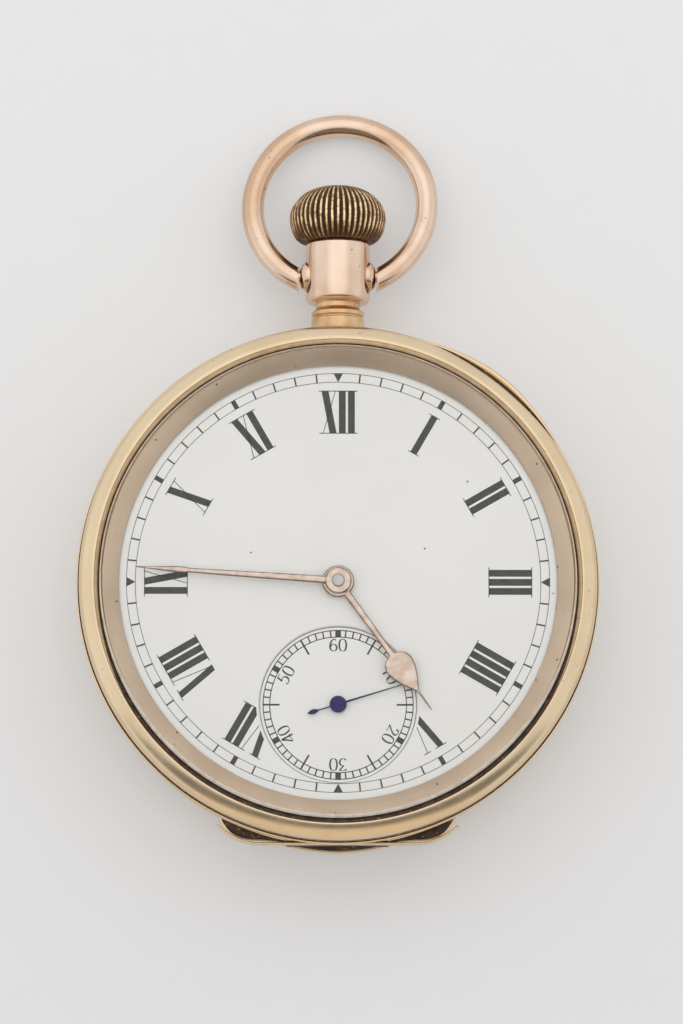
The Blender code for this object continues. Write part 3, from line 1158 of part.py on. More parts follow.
setting_lever = keyless_lever("setting_lever", SETTING_LEVER_PIVOT, (0.0, STEM_GROOVE_Y),
                              STEM_Z + 0.6 * STEM_RADIUS + SEAT_GAP)
yoke = keyless_lever("yoke", YOKE_PIVOT, (0.0, clutch_mid), STEM_Z + clutch_neck + SEAT_GAP)

# Motion work: cannon pinion, minute wheel, hour wheel and the setting wheel
MOTION_WALL = 0.22 * MM
motion_z = PLATE_TOP + SEAT_GAP
hour_wheel_z = motion_z + MOTION_WALL + SEAT_GAP
cannon_pinion = prism("cannon_pinion", [pinion_outline(CANNON_LEAVES, MOTION_MODULE,
                                                       in_mesh(MINUTE_POST, CENTRE, CANNON_LEAVES)),
                                        circle(CANNON_BORE)], motion_z, motion_z + MOTION_WALL, steel)
join(cannon_pinion, ring_of("cannon_tube", CANNON_BORE, CANNON_TUBE, motion_z + MOTION_WALL / 2,
                            minute_hand_z + HAND_WALL / 2, steel, steps=ROUND_SMALL))
minute_wheel = wheel("minute_wheel", MINUTE_TEETH, MOTION_MODULE, heading(MINUTE_POST, CENTRE), motion_z,
                     POST + PIVOT_GAP,
                     MINUTE_POST, 0, gilt, MOTION_WALL)
hour_turn = heading(CENTRE, MINUTE_POST)
minute_pinion = prism("minute_pinion", [pinion_outline(MINUTE_LEAVES, MOTION_MODULE,
                                                       in_mesh(CENTRE, MINUTE_POST, MINUTE_LEAVES)),
                                        circle(POST + PIVOT_GAP, steps=ROUND_PIVOT)],
                      hour_wheel_z, hour_wheel_z + MOTION_WALL, steel, MINUTE_POST)
setting_wheel = wheel("setting_wheel", SETTING_TEETH, MOTION_MODULE,
                      in_mesh(MINUTE_POST, SETTING_POST, SETTING_TEETH),
                      motion_z, POST + PIVOT_GAP, SETTING_POST, 0, steel, MOTION_WALL)
hour_wheel = wheel("hour_wheel", HOUR_TEETH, MOTION_MODULE, hour_turn, hour_wheel_z, HOUR_BORE, CENTRE, 0,
                   gilt, MOTION_WALL)
join(hour_wheel, ring_of("hour_tube", HOUR_BORE, HOUR_TUBE, hour_wheel_z + MOTION_WALL / 2,
                         hour_hand_z + HAND_WALL / 2,
                         gilt, steps=12))

# Dial with its three feet, and the sunk seconds disc
dial = prism("dial", [circle(DIAL_RADIUS, steps=ROUND_LARGE), circle(DIAL_HOLE),
                      circle(SECONDS_DIAL + SHELL_GAP, FOURTH, ROUND_MID)], DIAL_LOW, DIAL_TOP, enamel)
for i, foot in enumerate(DIAL_FEET):
    join(dial, rod(f"dial_foot_{i}", [(DIAL_FOOT, PLATE_LOW + PLATE_WALL / 2, DIAL_LOW + DIAL_WALL / 2)],
                   enamel, foot, 8))
seconds_dial = prism("seconds_dial", [circle(SECONDS_DIAL, steps=ROUND_MID),
                                      circle(FOURTH_POST + RUN_GAP, steps=12)],
                     seconds_dial_top - SECONDS_WALL, seconds_dial_top, enamel, FOURTH)


def compass(angle):
    # A dial angle, clockwise from twelve, as a heading in the plan
    return math.pi / 2 - angle


def hand(name, outline, bore, at, angle, bottom, material):
    # Half an outline along the hand, mirrored and turned to the dial angle
    whole = outline + [(x, -y) for x, y in reversed(outline) if y > 0.0]
    loops = [turned_outline(whole, compass(angle)), circle(bore, steps=12)]
    return prism(name, loops, bottom, bottom + HAND_WALL, material, at)


def boss_arc(radius, stem, steps=5):
    # The round boss of a hand, from behind to where the stem leaves it
    return arc(radius, math.pi, math.asin(stem / radius), steps)


spade_start = HOUR_REACH - 6.4 * MM
spade_end = HOUR_REACH - 2.2 * MM
hour_outline = boss_arc(HOUR_BOSS, HAND_STEM)
hour_outline += [(spade_start, HAND_STEM * 0.8)]
for share in (0.25, 0.5, 0.7, 0.85):
    width = HOUR_SPADE * math.sin(math.pi * share ** 1.3) ** 0.8
    hour_outline.append((spade_start + (spade_end - spade_start) * share, max(width, HAND_STEM * 0.8)))
hour_outline += [(spade_end, HAND_STEM * 0.6), (HOUR_REACH, 0.0)]
hour_hand = hand("hour_hand", hour_outline, CANNON_TUBE + PIVOT_GAP, CENTRE, HOUR_AT,
                 hour_hand_z + HAND_WALL / 2 + SEAT_GAP,
                 rose_gold)
minute_outline = boss_arc(MINUTE_BOSS, HAND_STEM)
minute_outline += [(0.7 * MINUTE_REACH, HAND_STEM * 0.9), (0.76 * MINUTE_REACH, HAND_STEM * 1.3),
                   (0.82 * MINUTE_REACH, HAND_STEM * 0.6), (MINUTE_REACH, 0.0)]
minute_hand = hand("minute_hand", minute_outline, CANNON_BORE, CENTRE, MINUTE_AT,
                   minute_hand_z + HAND_WALL / 2 + SEAT_GAP, rose_gold)
tail_leaf = SECOND_TAIL - SECOND_BOSS
second_outline = [(-SECOND_TAIL, 0.0), (-SECOND_TAIL + 0.3 * tail_leaf, 0.34 * SECOND_BOSS),
                  (-SECOND_TAIL + 0.6 * tail_leaf, 0.14 * SECOND_BOSS)]
second_outline += arc(SECOND_BOSS, math.pi - 0.15, 0.15, 6)
second_outline += [(SECOND_REACH, 0.06 * MM)]
seconds_hand = hand("seconds_hand", second_outline, FOURTH_POST + SEAT_GAP, FOURTH, SECOND_AT, second_hand_z,
                    blued)

# Each moving group hangs from an empty on its joint's axis
carry("bezel_axis", (0.0, *BEZEL_HINGE), [bezel, crystal])
carry("back_axis", (0.0, *BACK_HINGE), [back_cover])
carry("cuvette_axis", (0.0, *BACK_HINGE), [cuvette])
carry("bow_axis", (0.0, BOW_Y, STEM_Z), [bow])
carry("crown_axis", (0.0, CROWN_Y, STEM_Z), [crown, winding_stem])
carry("winding_axis", (0.0, WINDING_Y, STEM_Z), [winding_pinion])
carry("sliding_axis", (0.0, clutch_mid, STEM_Z), [sliding_pinion])
axes = {
    "centre_axis": (CENTRE, [centre_pinion, centre_wheel, cannon_pinion, minute_hand]),
    "hour_axis": (CENTRE, [hour_wheel, hour_hand]),
    "minute_wheel_axis": (MINUTE_POST, [minute_wheel, minute_pinion]),
    "setting_wheel_axis": (SETTING_POST, [setting_wheel]),
    "third_axis": (THIRD, [third_pinion, third_wheel]),
    "fourth_axis": (FOURTH, [fourth_pinion, fourth_wheel, seconds_hand]),
    "escape_axis": (ESCAPE, [escape_pinion, escape_wheel]),
    "pallet_axis": (PALLET, [pallet_fork, pallet_arbor] + pallet_stones),
    "balance_axis": (BALANCE, [balance_wheel, balance_staff]),
    "regulator_axis": (BALANCE, [regulator]),
    "barrel_axis": (BARREL, [barrel, barrel_cover, mainspring]),
    "ratchet_axis": (BARREL, [ratchet_wheel, barrel_arbor]),
    "crown_wheel_axis": (CROWN_WHEEL, [crown_wheel]),
    "click_axis": (CLICK_POST, [click]),
    "setting_lever_axis": (SETTING_LEVER_PIVOT, [setting_lever]),
    "yoke_axis": (YOKE_PIVOT, [yoke])}
for axis_name, (place, items) in axes.items():
    carry(axis_name, (*place, PLATE_LOW), items)
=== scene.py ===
import json
import math

import bmesh
import bpy
import numpy as np
from mathutils import Matrix, Vector


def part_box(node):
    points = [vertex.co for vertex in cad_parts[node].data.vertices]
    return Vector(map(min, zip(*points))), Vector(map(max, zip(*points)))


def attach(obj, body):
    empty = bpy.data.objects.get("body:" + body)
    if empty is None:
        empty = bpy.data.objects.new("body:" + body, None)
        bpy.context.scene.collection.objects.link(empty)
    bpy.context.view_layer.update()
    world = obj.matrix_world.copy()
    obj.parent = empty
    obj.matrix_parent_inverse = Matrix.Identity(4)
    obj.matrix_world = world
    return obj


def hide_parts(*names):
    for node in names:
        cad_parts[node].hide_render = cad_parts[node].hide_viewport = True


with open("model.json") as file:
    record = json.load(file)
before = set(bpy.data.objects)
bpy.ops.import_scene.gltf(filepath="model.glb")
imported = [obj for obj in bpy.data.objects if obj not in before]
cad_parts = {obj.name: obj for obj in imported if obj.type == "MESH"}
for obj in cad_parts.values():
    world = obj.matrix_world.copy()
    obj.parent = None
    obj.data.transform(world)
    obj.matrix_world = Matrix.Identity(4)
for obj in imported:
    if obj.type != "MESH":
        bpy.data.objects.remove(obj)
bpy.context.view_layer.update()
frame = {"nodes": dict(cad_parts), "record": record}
nodes = frame["nodes"]
mm = 0.001  # shapes below are written in millimetres
fullTurn = 2 * math.pi
print("frame loaded:", len(nodes), "nodes")


def linear(red, green, blue):
    # screen colour, 0 to 255, to the linear colour that shaders use
    screen = np.array([red, green, blue]) / 255
    low, high = screen / 12.92, ((screen + 0.055) / 1.055) ** 2.4
    return (*np.where(screen <= 0.04045, low, high).tolist(), 1.0)


class Wire:
    # a node's socket that can stand in a sum; each sum adds a Math node
    def __init__(self, tree, socket=None):
        self.tree = tree
        self.socket = socket

    def node(self, kind, settings=None, values=None, output=0):
        # any other node: settings are its properties, values its inputs, as wires or constants
        made = self.tree.nodes.new(kind)
        for key, value in (settings or {}).items():
            setattr(made, key, value)
        for key, value in (values or {}).items():
            if isinstance(value, Wire):
                self.tree.links.new(value.socket, made.inputs[key])
            else:
                made.inputs[key].default_value = value
        return Wire(self.tree, made.outputs[output])

    def math(self, operation, *values):
        return self.node("ShaderNodeMath", {"operation": operation}, dict(enumerate(values)))

    def __add__(self, other):
        return self.math("ADD", self, other)

    def __sub__(self, other):
        return self.math("SUBTRACT", self, other)

    def __rsub__(self, other):
        return self.math("SUBTRACT", other, self)

    def __mul__(self, other):
        return self.math("MULTIPLY", self, other)

    def __pow__(self, other):
        return self.math("POWER", self, other)

    __radd__ = __add__
    __rmul__ = __mul__

    def between(self, low, high):
        # 0 below low, 1 above high, smooth between
        return self.node("ShaderNodeMapRange", {"interpolation_type": "SMOOTHSTEP"},
                         {0: self, 1: low, 2: high, 3: 0.0, 4: 1.0})

    def mix(self, first, second):
        # colours: first where this wire is 0, second where it is 1
        return self.node("ShaderNodeMix", {"data_type": "RGBA"}, {0: self, 6: first, 7: second}, 2)

    def noise(self, scale, detail):
        return self.node("ShaderNodeTexNoise", {}, {"Vector": self, "Scale": scale, "Detail": detail})

    def stretch(self, *scale, turn=(0.0, 0.0, 0.0)):
        return self.node("ShaderNodeMapping", {}, {"Vector": self, "Scale": scale, "Rotation": turn})

    def scatter(self, scale):
        # points strewn over a flat: the distance to the nearest one, and a number from 0 to 1 that belongs to it
        flat, values = {"voronoi_dimensions": "2D"}, {"Vector": self, "Scale": scale}
        distance, colour = [self.node("ShaderNodeTexVoronoi", flat, values, i) for i in range(2)]
        return distance, self.node("ShaderNodeSeparateColor", {}, {0: colour})

    def axes(self):
        return [self.node("ShaderNodeSeparateXYZ", {}, {0: self}, i) for i in range(3)]

    def mark(self, name):
        # the value that a piece carries at each of its points
        return self.node("ShaderNodeAttribute", {"attribute_name": name}, {}, 2)

    def bump(self, strength, distance):
        return self.node("ShaderNodeBump", {}, {"Strength": strength, "Distance": distance, "Height": self})


def newFinish(name):
    # an empty material, and the wire of object coordinates that its patterns start from
    material = bpy.data.materials.new(name)
    material.use_nodes = True
    material.node_tree.nodes.clear()
    return material, Wire(material.node_tree).node("ShaderNodeTexCoord", output=3)


def showShader(material, shader):
    # joins a shader to the material's output
    output = material.node_tree.nodes.new("ShaderNodeOutputMaterial")
    material.node_tree.links.new(shader.socket, output.inputs["Surface"])
    return material


def surface(material, values):
    return showShader(material, Wire(material.node_tree).node("ShaderNodeBsdfPrincipled", {}, values))


# polished gold: warm and cool patches, hair scratches, a bloom of handling, brown grime in specks
goldLooks = {
    "yellowGold": dict(pale=(230, 208, 174), deep=(225, 201, 166), grime=(120, 84, 50), rough=0.19),
    "roseGold": dict(pale=(232, 207, 186), deep=(216, 181, 152), grime=(112, 74, 48), rough=0.11),
    "neckGold": dict(pale=(226, 196, 158), deep=(196, 154, 106), grime=(96, 62, 36), rough=0.1),
    "giltBrass": dict(pale=(226, 190, 122), deep=(200, 156, 88), grime=(120, 88, 44), rough=0.32)}


def goldFinish(name):
    look = goldLooks[name]
    material, place = newFinish(name)
    patch = place.noise(160.0, 4.0).between(0.36, 0.66)
    bloom = place.noise(620.0, 5.0)
    speck = place.noise(2600.0, 2.0).between(0.72, 0.78)
    hair = place.stretch(9000.0, 700.0, 2500.0, turn=(0.3, 0.2, 0.6))
    scratch = hair.noise(1.0, 2.0).between(0.62, 0.7)
    colour = speck.mix(patch.mix(linear(*look["pale"]), linear(*look["deep"])), linear(*look["grime"]))
    rough = look["rough"] + bloom.between(0.4, 0.75) * 0.07 + scratch * 0.05 + speck * 0.3
    return surface(material, {"Base Color": colour, "Metallic": 1.0, "Roughness": rough,
                              "Normal": (scratch + bloom * 0.4).bump(0.03, 0.00002)})


def slopeFinish():
    # brushed ring round the dial: fine turned lines with small dark pits
    material, place = newFinish("brushedGold")
    x, y, z = place.axes()
    radius = (x * x + y * y) ** 0.5
    angle = place.math("ARCTAN2", y, x)
    turned = place.node("ShaderNodeCombineXYZ", {}, {0: radius * 42000.0, 1: angle * 6.0, 2: z * 42000.0})
    line = turned.noise(1.0, 3.0)
    patch = place.noise(190.0, 3.0).between(0.35, 0.7)
    distance, pick = place.scatter(520.0)
    pit = pick.between(0.84, 0.88) * (1.0 - distance.between(0.02, 0.04 + pick * 0.03))
    colour = patch.mix(linear(213, 189, 163), linear(203, 176, 147))
    colour = line.between(0.3, 0.75).mix(colour, linear(220, 199, 176))
    return surface(material, {"Base Color": pit.mix(colour, linear(62, 40, 26)), "Metallic": 1.0,
                              "Roughness": 0.28 + line * 0.12 + pit * 0.3,
                              "Normal": (line - pit).bump(0.12, 0.00003)})


def grimeFinish():
    # painted shade: dark brown crumbs with metallic flecks, laid where shadow falls in the bezel's slot, the glass's
    # groove, round the hinge, at the seconds' sunk edge and in the screw slots
    material, place = newFinish("paintedShadeBrown")
    crumb = place.noise(900.0, 4.0)
    glint = place.noise(2400.0, 2.0).between(0.6, 0.72)
    shade = crumb.between(0.3, 0.7).mix(linear(38, 25, 17), linear(78, 54, 36))
    return surface(material, {"Base Color": glint.mix(shade, linear(150, 112, 74)), "Metallic": glint * 0.8,
                              "Roughness": 0.62 - glint * 0.3, "Normal": crumb.bump(0.3, 0.00005)})


def crownFinish():
    # worn crown: bright brass where the ridges rub, brown film on their flanks, black-brown in the grooves
    material, place = newFinish("wornCrown")
    ridge = place.mark("ridge")
    film = place.noise(900.0, 5.0)
    grain = place.noise(3600.0, 3.0)
    worn = (ridge + (film - 0.5) * 1.1).between(0.42, 0.95)
    clean = (ridge + (film - 0.5) * 0.9 + (grain - 0.5) * 0.9).between(0.7, 1.05)
    colour = clean.mix(worn.mix(linear(92, 64, 40), linear(190, 150, 104)), linear(250, 226, 184))
    return surface(material, {"Base Color": colour, "Metallic": 0.55 + worn * 0.45,
                              "Roughness": 0.44 - worn * 0.16 + grain * 0.1,
                              "Normal": (grain + film).bump(0.22, 0.00004)})


def enamelFinish():
    # fired enamel: warm white, faint clouds, a scatter of tiny black flecks, wet gloss
    material, place = newFinish("whiteEnamel")
    cloud = place.noise(70.0, 3.0).between(0.3, 0.7)
    distance, pick = place.scatter(240.0)
    fleck = pick.between(0.955, 0.965) * (1.0 - distance.between(0.016, 0.028))
    ripple = place.noise(520.0, 2.0)
    white = cloud.mix(linear(248, 247, 244), linear(246, 245, 241))
    return surface(material, {"Base Color": fleck.mix(white, linear(90, 84, 78)), "Coat Weight": 0.35,
                              "Roughness": 0.16 + fleck * 0.3, "Normal": ripple.bump(0.03, 0.00003)})


def inkFinish():
    # fired black: soft charcoal with thinner patches
    material, place = newFinish("dialInk")
    thin = place.noise(1400.0, 4.0).between(0.35, 0.8)
    return surface(material, {"Base Color": thin.mix(linear(46, 45, 44), linear(66, 64, 62)),
                              "Roughness": 0.3 + thin * 0.15})


def bluedFinish():
    # steel coloured by heat: violet-blue with a brown bloom
    material, place = newFinish("bluedSteel")
    heat = place.noise(700.0, 3.0).between(0.35, 0.7)
    line = place.noise(5200.0, 2.0)
    return surface(material, {"Base Color": heat.mix(linear(34, 34, 88), linear(48, 42, 82)), "Metallic": 0.85,
                              "Roughness": 0.26 + line * 0.12})


def steelFinish(name, pale, stained):
    # grained steel of the winding work, pinions and pins
    material, place = newFinish(name)
    grain = place.stretch(700.0, 26000.0, 9000.0).noise(1.0, 3.0)
    stain = place.noise(500.0, 4.0).between(0.45, 0.8)
    return surface(material, {"Base Color": stain.mix(linear(*pale), linear(*stained)), "Metallic": 1.0,
                              "Roughness": 0.24 + grain * 0.18 + stain * 0.1, "Normal": grain.bump(0.08, 0.00002)})


def handFinish():
    # rose gold hands: clean along the middle, with painted shade along their edges
    material, place = newFinish("handGold")
    film = place.noise(1100.0, 4.0)
    line = place.noise(4200.0, 2.0)
    edgeShade = (place.mark("edge") + (film - 0.5) * 0.5).between(0.42, 0.95)
    colour = film.between(0.35, 0.7).mix(linear(211, 193, 179), linear(190, 168, 152))
    return surface(material, {"Base Color": edgeShade.mix(colour, linear(96, 74, 60)), "Metallic": 1.0,
                              "Roughness": 0.2 + line * 0.1 + edgeShade * 0.12,
                              "Normal": (line + film).bump(0.04, 0.00002)})


def rubyFinish():
    # pallet stones and jewels
    material, place = newFinish("jewelRuby")
    depth = place.noise(1800.0, 2.0)
    return surface(material, {"Base Color": depth.mix(linear(150, 12, 44), linear(196, 40, 80)), "Roughness": 0.06,
                              "Coat Weight": 0.6})


def glassFinish():
    # thin clear glass: a mirror by Fresnel over a clear pane, with faint wiping marks
    material, place = newFinish("crystalGlass")
    rough = 0.02 + place.noise(240.0, 4.0) * 0.03
    clear = place.node("ShaderNodeBsdfTransparent", {}, {0: (0.998, 0.998, 0.997, 1.0)})
    shine = place.node("ShaderNodeBsdfGlossy", {}, {"Color": (1.0, 1.0, 1.0, 1.0), "Roughness": rough})
    mirror = place.node("ShaderNodeFresnel", {}, {"IOR": 1.3}) * 0.65
    return showShader(material, place.node("ShaderNodeMixShader", {}, {0: mirror, 1: clear, 2: shine}))


def bevelFinish():
    # ground bevel at the glass's rim, which scatters white light
    material, place = newFinish("glassBevel")
    chip = place.noise(1300.0, 4.0)
    colour = chip.between(0.3, 0.8).mix(linear(240, 234, 226), linear(214, 202, 188))
    return surface(material, {"Base Color": colour, "Roughness": 0.3 + chip * 0.2, "Coat Weight": 0.4,
                              "Normal": chip.bump(0.1, 0.00003)})


def floorFinish():
    # matt white paper with painted light: its tone is a little lighter towards the back, and it glows by its own
    # emission, which lifts the shadows on it
    material, place = newFinish("paleFloor")
    fibre = place.noise(300.0, 4.0)
    far = place.axes()[1].between(-0.05, 0.07)
    tone = (fibre * 0.2 + far * 0.8).mix(linear(203, 203, 204), linear(211, 211, 211))
    return surface(material, {"Base Color": tone, "Roughness": 0.9, "Specular IOR Level": 0.1,
                              "Emission Color": tone, "Emission Strength": 0.34})


finishes = {name: goldFinish(name) for name in goldLooks}
# the dark brown finish made here is painted shade; the gold looks' dark brown is their real grime in specks
finishes.update(
    slope=slopeFinish(), grime=grimeFinish(), crown=crownFinish(), enamel=enamelFinish(), ink=inkFinish(),
    blued=bluedFinish(), steel=steelFinish("grainedSteel", (206, 207, 210), (172, 168, 164)),
    pinSteel=steelFinish("pinSteel", (186, 182, 178), (160, 154, 150)), handGold=handFinish(), ruby=rubyFinish(),
    glass=glassFinish(), bevel=bevelFinish())
print("finishes made:", len(finishes))


def putPiece(name, mesh, body, finish, stands=(), smooth=True):
    # closes seams and poles, turns faces outwards, and hangs the piece on its body
    form = bmesh.new()
    form.from_mesh(mesh)
    bmesh.ops.remove_doubles(form, verts=form.verts, dist=1e-7)
    bmesh.ops.recalc_face_normals(form, faces=form.faces)
    form.to_mesh(mesh)
    form.free()
    mesh.name = name
    mesh.polygons.foreach_set("use_smooth", np.full(len(mesh.polygons), smooth))
    mesh.materials.append(finishes[finish])
    piece = bpy.data.objects.new(name, mesh)
    bpy.context.scene.collection.objects.link(piece)
    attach(piece, body)
    if stands:
        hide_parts(*stands)


def gridMesh(points, wrapRows=False, wrapColumns=False, marks=None):
    # points[row, column] become quads between neighbours; a wrapped side joins its last line to its first
    rows, columns = points.shape[:2]
    index = np.arange(rows * columns).reshape(rows, columns)
    if wrapRows:
        index = np.vstack([index, index[:1]])
    if wrapColumns:
        index = np.hstack([index, index[:, :1]])
    corners = (index[:-1, :-1], index[1:, :-1], index[1:, 1:], index[:-1, 1:])
    quads = np.stack(corners, -1).reshape(-1, 4)
    mesh = bpy.data.meshes.new("grid")
    mesh.from_pydata((points.reshape(-1, 3) * mm).tolist(), [], quads.tolist())
    for mark, values in (marks or {}).items():
        layer = mesh.attributes.new(mark, "FLOAT", "POINT")
        layer.data.foreach_set("value", np.ascontiguousarray(values, np.float32).ravel())
    return mesh


def joinMeshes(meshes):
    # several meshes as one, with their vertices and faces run together
    form = bmesh.new()
    for mesh in meshes:
        form.from_mesh(mesh)
        bpy.data.meshes.remove(mesh)
    whole = bpy.data.meshes.new("whole")
    form.to_mesh(whole)
    form.free()
    return whole


def softProfile(corners, radius=0.12, steps=5, closed=True):
    # rounds each corner of an outline: a quadratic curve from one side to the next, as far back as radius allows
    corners = np.asarray(corners, float)
    before, after = np.roll(corners, 1, 0), np.roll(corners, -1, 0)
    inward, outward = before - corners, after - corners
    spanIn = np.linalg.norm(inward, axis=1, keepdims=True) + 1e-9
    spanOut = np.linalg.norm(outward, axis=1, keepdims=True) + 1e-9
    back = np.minimum(radius, 0.45 * np.minimum(spanIn, spanOut))
    start, end = corners + inward / spanIn * back, corners + outward / spanOut * back
    t = np.linspace(0, 1, steps)[None, :, None]
    curve = (1 - t) ** 2 * start[:, None] + 2 * t * (1 - t) * corners[:, None] + t ** 2 * end[:, None]
    if not closed:
        curve[0], curve[-1] = corners[0], corners[-1]
    return curve.reshape(-1, 2)


def around(steps):
    # angles of one turn, u = 2 pi i / steps
    return np.linspace(0, fullTurn, steps, endpoint=False)


def lathe(profile, steps):
    # P(u, v) = (r(v) cos u, r(v) sin u, z(v))
    u = around(steps)[:, None]
    r, z = profile[None, :, 0], profile[None, :, 1]
    return np.stack([r * np.cos(u), r * np.sin(u), z + 0 * u], -1)


def alongX(points, side=1):
    # turns a shape from the Z axis to the X axis, or with side -1 to its mirror image
    x, y, z = np.moveaxis(points, -1, 0)
    return np.stack([side * z, x, y], -1)


def alongY(points):
    # turns a shape from the Z axis to the stem's axis
    x, y, z = np.moveaxis(points, -1, 0)
    return np.stack([x, z, stemLift - y], -1)


def sweep(path, across, profile):
    # P(s, t) = path(s) + across(s) a(t) + Z b(t): a profile (a, b) carried along a path
    up = np.broadcast_to([0.0, 0.0, 1.0], path.shape)
    a, b = profile[None, :, 0, None], profile[None, :, 1, None]
    return path[:, None] + across[:, None] * a + up[:, None] * b


def levelAcross(path):
    # level unit steps at right angles to a path
    along = np.gradient(path, axis=0)
    along /= np.linalg.norm(along, axis=1, keepdims=True)
    return np.stack([along[:, 1], -along[:, 0], 0 * along[:, 0]], -1)


def rod(radius, low, high, soft, steps):
    # outline of a plain rod with softened ends, for a lathe
    return softProfile([(0.0, low), (radius, low), (radius, high), (0.0, high)], soft, steps, False)


def capped(points):
    # closes a tube: a ring at each end shrunk to its middle
    ends = [np.broadcast_to(points[i].mean(0), points[i].shape)[None] for i in (0, -1)]
    return np.concatenate([ends[0], points, ends[1]])


def clockWindow(steps, middle, span):
    # cos^2 window over span degrees round middle, clockwise from twelve, for each row of a lathe
    share = ((90 - np.degrees(around(steps)) - middle + 180) % 360 - 180) / span
    return np.where(np.abs(share) < 0.5, np.cos(math.pi * share) ** 2, 0.0)[:, None]


stemLift = 5.3
seconds = np.array([0.0, -11.85])
fine = 240  # steps round the large rings

# bezel: softly rounded band, a slot under it, a thin rim below the slot that flares into the thumb lip
bezel = dict(low=8.22, steps=288, lipAt=38.0, lipSpan=47.0, lipProud=0.55, scoop=0.36)
bezelProfile = [
    (23.44, 11.24, 0), (23.47, 11.3, 0), (23.52, 11.33, 0), (23.58, 11.32, 0), (23.9, 11.18, 0), (24.25, 10.98, 0),
    (24.5, 10.79, -0.05), (24.68, 10.62, -0.2), (24.8, 10.47, -0.5), (24.89, 10.3, -0.8), (24.93, 10.1, -1),
    (24.95, 9.7, -1), (24.95, 9.0, -1), (24.96, 8.4, -1), (25.03, 8.4, 0.3), (25.05, 8.58, 0.5), (25.12, 8.64, 0.75),
    (25.2, 8.54, 1), (25.21, 8.4, 1), (25.14, bezel["low"], 0.9), (22.72, bezel["low"], 0), (22.72, 9.8, 0),
    (22.66, 10.6, 0), (23.02, 10.66, 0), (23.03, 10.86, 0), (23.06, 10.93, 0), (23.36, 11.14, 0), (23.41, 11.18, 0)]
# painted shade: a dark lining down the slot under the band, where shadow falls
slotShadeProfile = [(24.9, 8.3, -1), (24.93, 8.66, -1), (24.99, 8.66, -0.3), (25.03, 8.6, 0.16), (25.04, 8.3, 0.16)]
slopeCorners = [(21.1, 9.74), (21.1, 9.88), (22.64, 10.62), (22.7, 10.5), (21.7, 9.74)]
# painted shade in the groove round the glass, narrow at twelve and widest towards six
grooveShade = dict(least=0.02, most=0.36, fade=0.66, section=[  # r, z, and how far each point moves out and up
    (22.96, 10.7, 0, 0), (22.96, 10.86, 0, 0), (23.04, 10.93, 0.5, 0.35), (23.04, 10.94, 1, 0.72),
    (23.06, 10.7, 0.9, 0)])


def bezelLathe(profile):
    # lathe profile (r, z, flare); flare below 0 scales the scoop above the slot, above 0 the lip below it
    profile = np.array(profile)
    window = clockWindow(bezel["steps"], bezel["lipAt"], bezel["lipSpan"])
    flare = profile[None, :, 2]
    points = lathe(profile[:, :2], bezel["steps"])
    shift = window * np.where(flare > 0, flare * bezel["lipProud"], flare * bezel["scoop"])
    points[..., :2] *= (1 + shift / profile[None, :, 0])[..., None]
    return gridMesh(points, True, True)


def makeGroove():
    # painted shade between glass and bezel, which climbs the bezel's inner slope by smoothstep towards six
    down = np.clip(-np.sin(around(fine)) / grooveShade["fade"], 0, 1)[:, None]
    wide = grooveShade["least"] + grooveShade["most"] * (down * down * (3 - 2 * down))
    section = np.array(grooveShade["section"])
    points = lathe(section[:, :2], fine)
    points[..., :2] *= (1 + wide * section[None, :, 2] / section[None, :, 0])[..., None]
    points[..., 2] += wide * section[None, :, 3]
    return gridMesh(points, True, True)


putPiece("bezelRing", bezelLathe(bezelProfile), "bezel_ring", "yellowGold", ["bezel"])
# the slot's dark lining is painted shade
putPiece("bezelSlotShade", bezelLathe(slotShadeProfile), "bezel_ring", "grime")
putPiece("dialSlope", gridMesh(lathe(softProfile(slopeCorners, 0.06), fine), True, True), "bezel_ring", "slope")
putPiece("glassGrooveShade", makeGroove(), "bezel_ring", "grime")

# crystal: z = crown - rise (r / R)^power above, a parallel inner face, and a ground bevel at the rim
crystal = dict(radius=22.95, bevel=22.62, low=10.72, crown=12.5, rise=1.1, power=2.6, wall=0.62, narrow=0.2)


def makeCrystal():
    r = np.linspace(0, crystal["bevel"], 48)
    fall = crystal["rise"] * (r / crystal["bevel"]) ** crystal["power"]
    over = np.stack([r, crystal["crown"] - fall], -1)
    under = np.stack([r, crystal["crown"] - crystal["wall"] - fall], -1)[::-1]
    return gridMesh(lathe(np.vstack([over, under]), 160), True, False)


def makeGlassEdge():
    # ground bevel, a hair wide at twelve and its full width towards six
    edgeTop, inner = crystal["crown"] - crystal["rise"], crystal["bevel"] + 0.01
    corners = softProfile([(inner, edgeTop - 0.02), (crystal["radius"], edgeTop - 0.36),
                           (crystal["radius"], crystal["low"]), (inner, crystal["low"])], 0.05, 4)
    points = lathe(corners, fine)
    narrow = crystal["narrow"] * np.clip(0.85 + 1.15 * np.sin(around(fine)), 0, 1)[:, None]
    share = (crystal["radius"] - corners[None, :, 0]) / (crystal["radius"] - crystal["bevel"])
    points[..., :2] *= (1 + narrow * share / corners[None, :, 0])[..., None]
    return gridMesh(points, True, True)


putPiece("crystalDome", makeCrystal(), "bezel_ring", "glass", ["crystal"])
putPiece("crystalEdge", makeGlassEdge(), "bezel_ring", "bevel")

# case middle, back and inner cover
band = dict(radius=24.5, belly=0.15, low=2.9, top=8.1, bead=0.1, beadWide=0.05, inside=21.6, seat=22.4, seatLow=7.8)
back = dict(flat=14.0, radius=24.75, low=0.0, shoulder=2.25, top=2.78, wall=0.5)
cover = dict(flat=12.0, radius=23.4, low=0.75, shoulder=2.42, top=2.75, wall=0.35)
notch = dict(span=26.0, depth=0.27, above=2.4)


